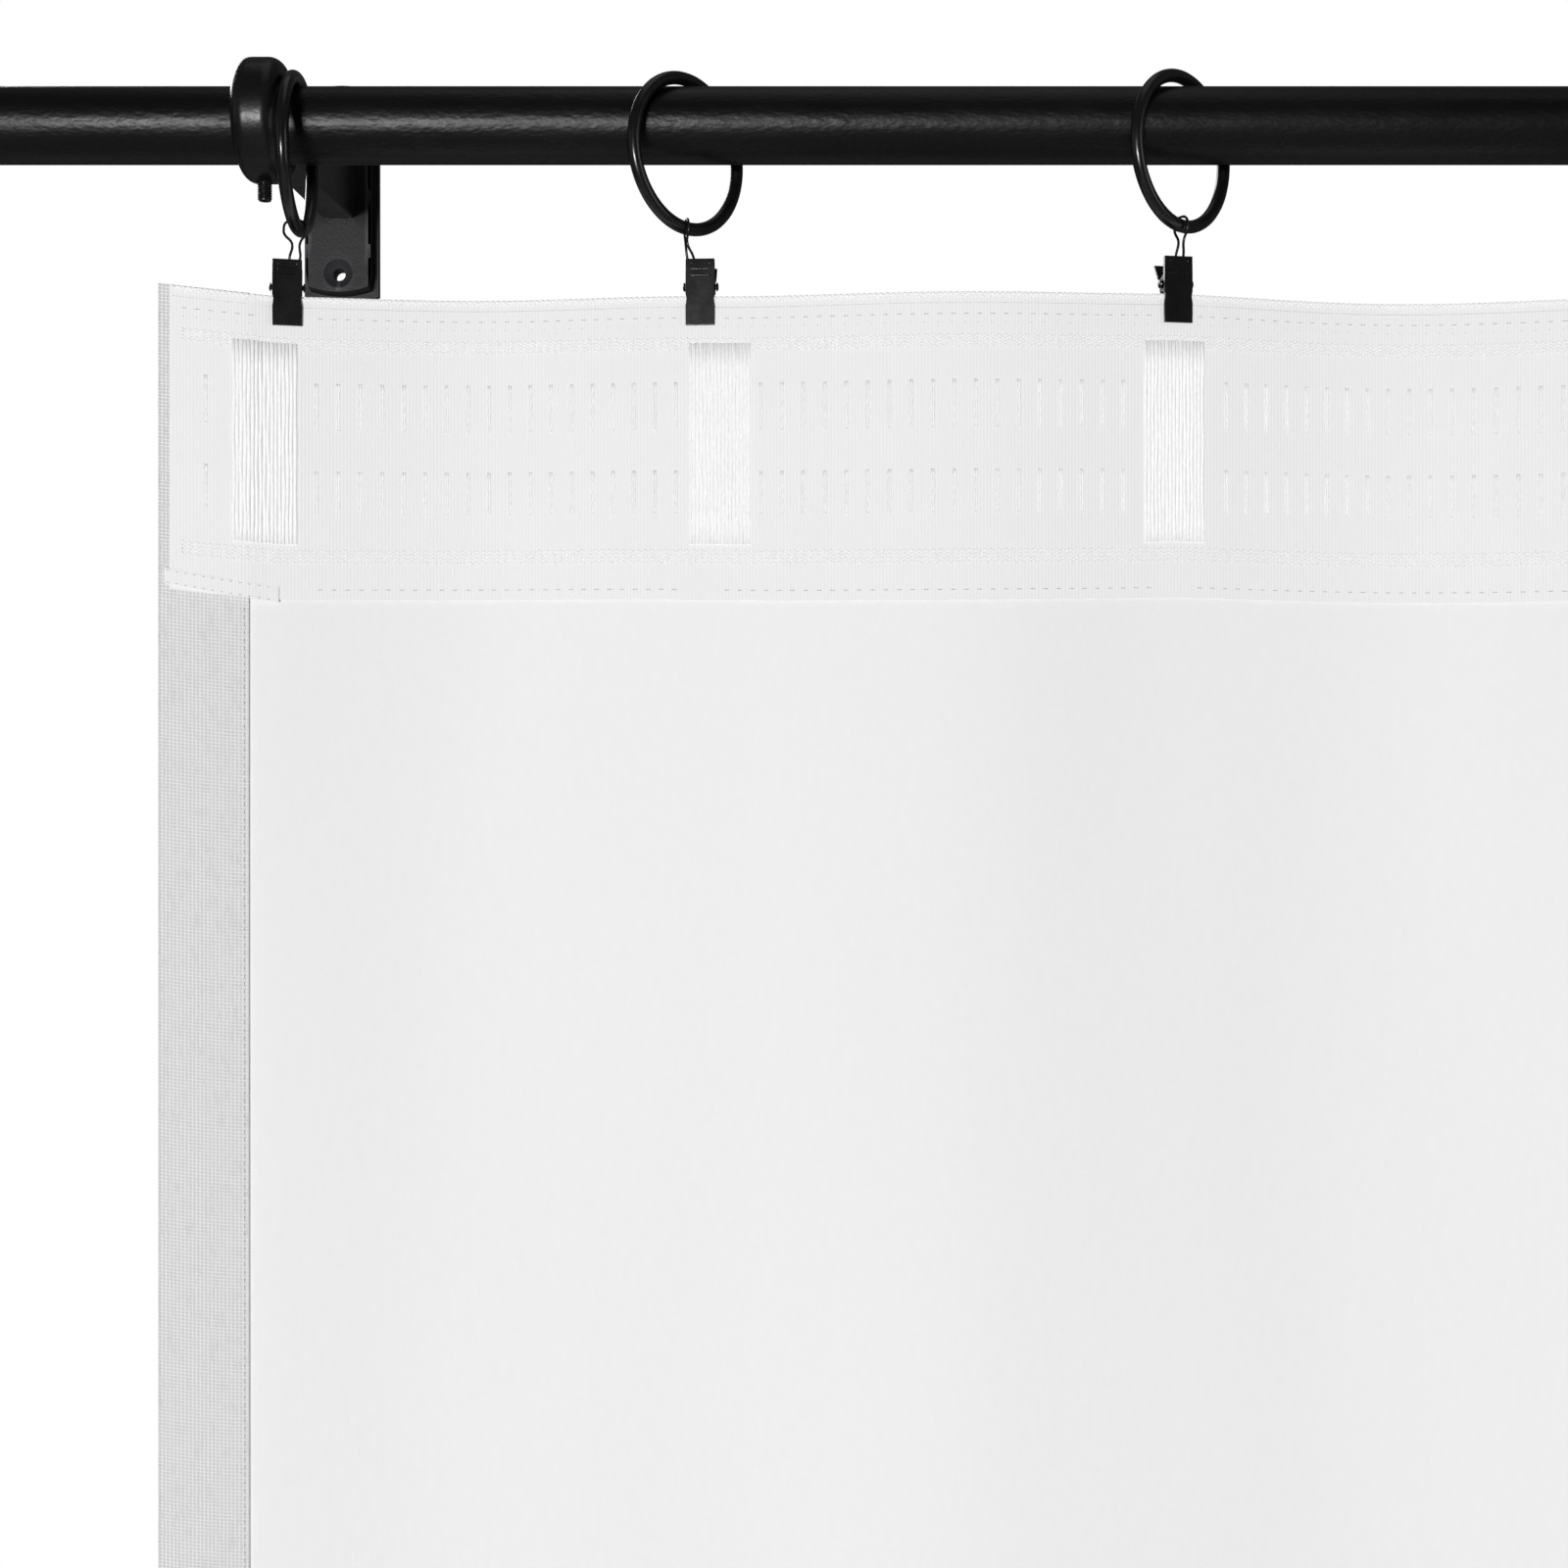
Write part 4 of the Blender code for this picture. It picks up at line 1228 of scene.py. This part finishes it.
def sewn(place, rise, dip, ease):
    # a stitch that dives in at both ends, where place gives its point at a share of its length
    path = []
    for share, height in ((0, -dip), (ease, rise), (1 - ease, rise), (1, -dip)):
        path.append(Vector(place(share)) - Vector((0, height, 0)))
    return path


def stitchRow(drop, length):
    face, height = tape["thickness"] / 2, tape["stitchHeight"]
    starts = [x for x in alongTape(tape["stitchPitch"]) if clearOfClips(x + length / 2, tape["clipRoom"])]
    return [sewn(lambda share: tapeSpot(x + length * share, drop), face + height * 0.6, height - face, 0.2)
            for x in starts]


def makeHeadingStitches():
    paths = stitchRow(tape["stitchRow"], tape["stitch"]) + stitchRow(tape["lowerStitch"], tape["stitch"])
    return runThreads("heading_stitches", paths, 0.00012, threadGrey)


def makePaleStitches():
    face = tape["thickness"] / 2
    # the continuous pale grey thread along the tape's fold is painted shade, standing for the shade in the
    # crease
    fold = [tapeSpot(x, tape["foldShadeLine"], face) for x in alongTape(0.006, 0.001)]
    paths = stitchRow(tape["secondRow"], tape["shortStitch"]) + [fold]
    return runThreads("heading_second_row_and_fold_shade", paths, 0.00010, paleYarnAndFoldShade)


def makeTabStitches(place):
    inset, length, paths = tabLook["stitchInset"], tabLook["stitch"], []
    for drop in (tabLook["top"] + inset, tabLook["top"] + tabLook["height"] - inset):
        for k in range(int(tabLook["width"] / tabLook["stitchPitch"])):
            x = tabLeft + inset + tabLook["stitchPitch"] * k
            paths.append(sewn(lambda share: place(x + length * share, drop), 0.00028, 0.0001, 0.3))
    return runThreads("heading_tab_stitches", paths, 0.00012, threadGrey)


headingTape, tapeFlat = makeTape()
headingTab, tabPlace = makeTab()
tapeTrims = [makeChevrons(), makeCords(), makeLadders(), makeSelvedge(), makeHeadingStitches(),
             makePaleStitches(), headingTab, makeTabStitches(tabPlace)]
print("heading tape made")

# stitches that hold the hems
seam = {"pitch": 0.0026, "stitch": 0.0013, "inset": 0.0014, "thread": 0.00013, "bottomPitch": 0.0044,
        "bottomStitch": 0.0026, "bottomInset": 0.0030, "rise": 0.00007, "dip": 0.00012, "startRoom": 0.004,
        "endRoom": 0.006, "cornerRoom": 0.005}


def sideSeam():
    layer = curtain["middle"] - curtain["layerStep"]
    face = curtain["thickness"] / 2
    start = tapeHeight + seam["startRoom"]
    end = clothHigh.z - clothLow.z - curtain["bottomHem"] - seam["endRoom"]
    inset, length = curtain["sideHem"] - seam["inset"], seam["stitch"]
    rise, dip = face + seam["rise"], seam["dip"] - face
    paths = []
    for x in (clothLeft + inset, clothRight - inset):
        for k in range(int((end - start) / seam["pitch"])):
            top = start + seam["pitch"] * k
            paths.append(sewn(lambda share: clothPoint((x, layer), ("down", top + length * share)),
                              rise, dip, 0.25))
    return runThreads("side_hem_stitches", paths, seam["thread"], threadGrey)


def bottomSeam():
    face = curtain["thickness"] / 2
    row = ("up", curtain["bottomHem"] - seam["bottomInset"])
    room = curtain["sideHem"] + seam["cornerRoom"]
    rise, dip = face + seam["rise"], seam["dip"] - face
    length, middle = seam["bottomStitch"], curtain["middle"]
    paths = []
    for k in range(int((clothRight - clothLeft - 2 * room) / seam["bottomPitch"])):
        left = clothLeft + room + seam["bottomPitch"] * k
        paths.append(sewn(lambda share: clothPoint((left + length * share, middle), row), rise, dip, 0.2))
    return runThreads("bottom_hem_stitches", paths, seam["thread"], threadGrey)


hemTrims = [sideSeam(), bottomSeam()]
print("seams made")

# floor, lights and camera
studio = {"lens": 50.0, "sensor": 36.0, "cameraRight": 0.1740, "cameraOut": 0.730, "cameraDown": 0.2206,
          "floorGap": 0.02, "floorRadius": 3.2, "floorColour": (0.66, 0.66, 0.655), "ambient": 0.07,
          "white": (1.0, 1.0, 1.0, 1.0), "aim": (0.55, -0.75)}
softBoxes = {
    "key": {"place": (-1.65, -8.13, -1.06), "size": (1.5, 0.9), "watts": 570.0},
    "sideLeft": {"place": (-3.6, -1.6, 0.5), "size": (1.8, 2.4), "watts": 5.0},
    "sideRight": {"place": (3.9, -1.6, 0.1), "size": (1.8, 2.4), "watts": 20.0},
    "above": {"place": (0.4, -0.2, 2.6), "size": (2.6, 1.6), "watts": 5.0},
    "rear": {"place": (-2.6, 3.2, 1.8), "size": (2.2, 1.8), "watts": 90.0},
}


def makeFloor():
    letGo()
    lowest = cadBox[0].z - studio["floorGap"]
    centre = (cadBox[0] + cadBox[1]) / 2
    bpy.ops.mesh.primitive_circle_add(
        vertices=128, radius=studio["floorRadius"], fill_type="NGON", location=(centre.x, centre.y, lowest)
    )
    floor = named("studio_floor")
    edit(floor)
    bpy.ops.mesh.inset(thickness=0.05, depth=0)
    letGo()
    bake(floor)
    finish = newFinish("paleFloor", studio["floorColour"], 0.8)
    where = objectCoordinates(finish)
    light = studio["floorColour"]
    tint(finish, blotches(finish, where, 3.0), [c * 0.98 for c in light], light)
    floor.data.materials.append(finish)


def makeLights():
    target = Vector((studio["aim"][0], rodAxis.y, studio["aim"][1]))
    for name, values in softBoxes.items():
        light = bpy.data.lights.new(name, "AREA")
        light.shape = "RECTANGLE"
        light.size, light.size_y = values["size"]
        light.energy = values["watts"]
        lamp = bpy.data.objects.new(name, light)
        bpy.context.scene.collection.objects.link(lamp)
        lamp.location = values["place"]
        lamp.rotation_euler = (target - lamp.location).to_track_quat("-Z", "Y").to_euler()


def makeWorld():
    # the eye sees a white backdrop, and the object is lit by a dim even room
    world = bpy.data.worlds.new("studio")
    world.use_nodes = True
    bpy.context.scene.world = world
    nodes, links = world.node_tree.nodes, world.node_tree.links
    room = nodes["Background"]
    room.inputs["Color"].default_value = studio["white"]
    room.inputs["Strength"].default_value = studio["ambient"]
    backdrop = nodes.new("ShaderNodeBackground")
    backdrop.inputs["Color"].default_value = studio["white"]
    path = nodes.new("ShaderNodeLightPath")
    either = nodes.new("ShaderNodeMixShader")
    links.new(path.outputs["Is Camera Ray"], either.inputs["Fac"])
    links.new(room.outputs["Background"], either.inputs[1])
    links.new(backdrop.outputs["Background"], either.inputs[2])
    links.new(either.outputs["Shader"], nodes["World Output"].inputs["Surface"])


def makeCamera():
    camera = bpy.data.cameras.new("camera")
    camera.lens = studio["lens"]
    camera.sensor_width = studio["sensor"]
    camera.clip_start = 0.01
    eye = bpy.data.objects.new("camera", camera)
    bpy.context.scene.collection.objects.link(eye)
    plateLow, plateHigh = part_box("wall_plate_left")
    middle = (plateLow.x + plateHigh.x) / 2
    eye.location = (
        middle + studio["cameraRight"], rodAxis.y - studio["cameraOut"], rodAxis.z - studio["cameraDown"]
    )
    eye.rotation_euler = (math.pi / 2, 0, 0)
    bpy.context.scene.camera = eye


makeFloor()
makeLights()
makeWorld()
makeCamera()
bpy.context.scene.view_settings.view_transform = "Standard"
print("stage made")
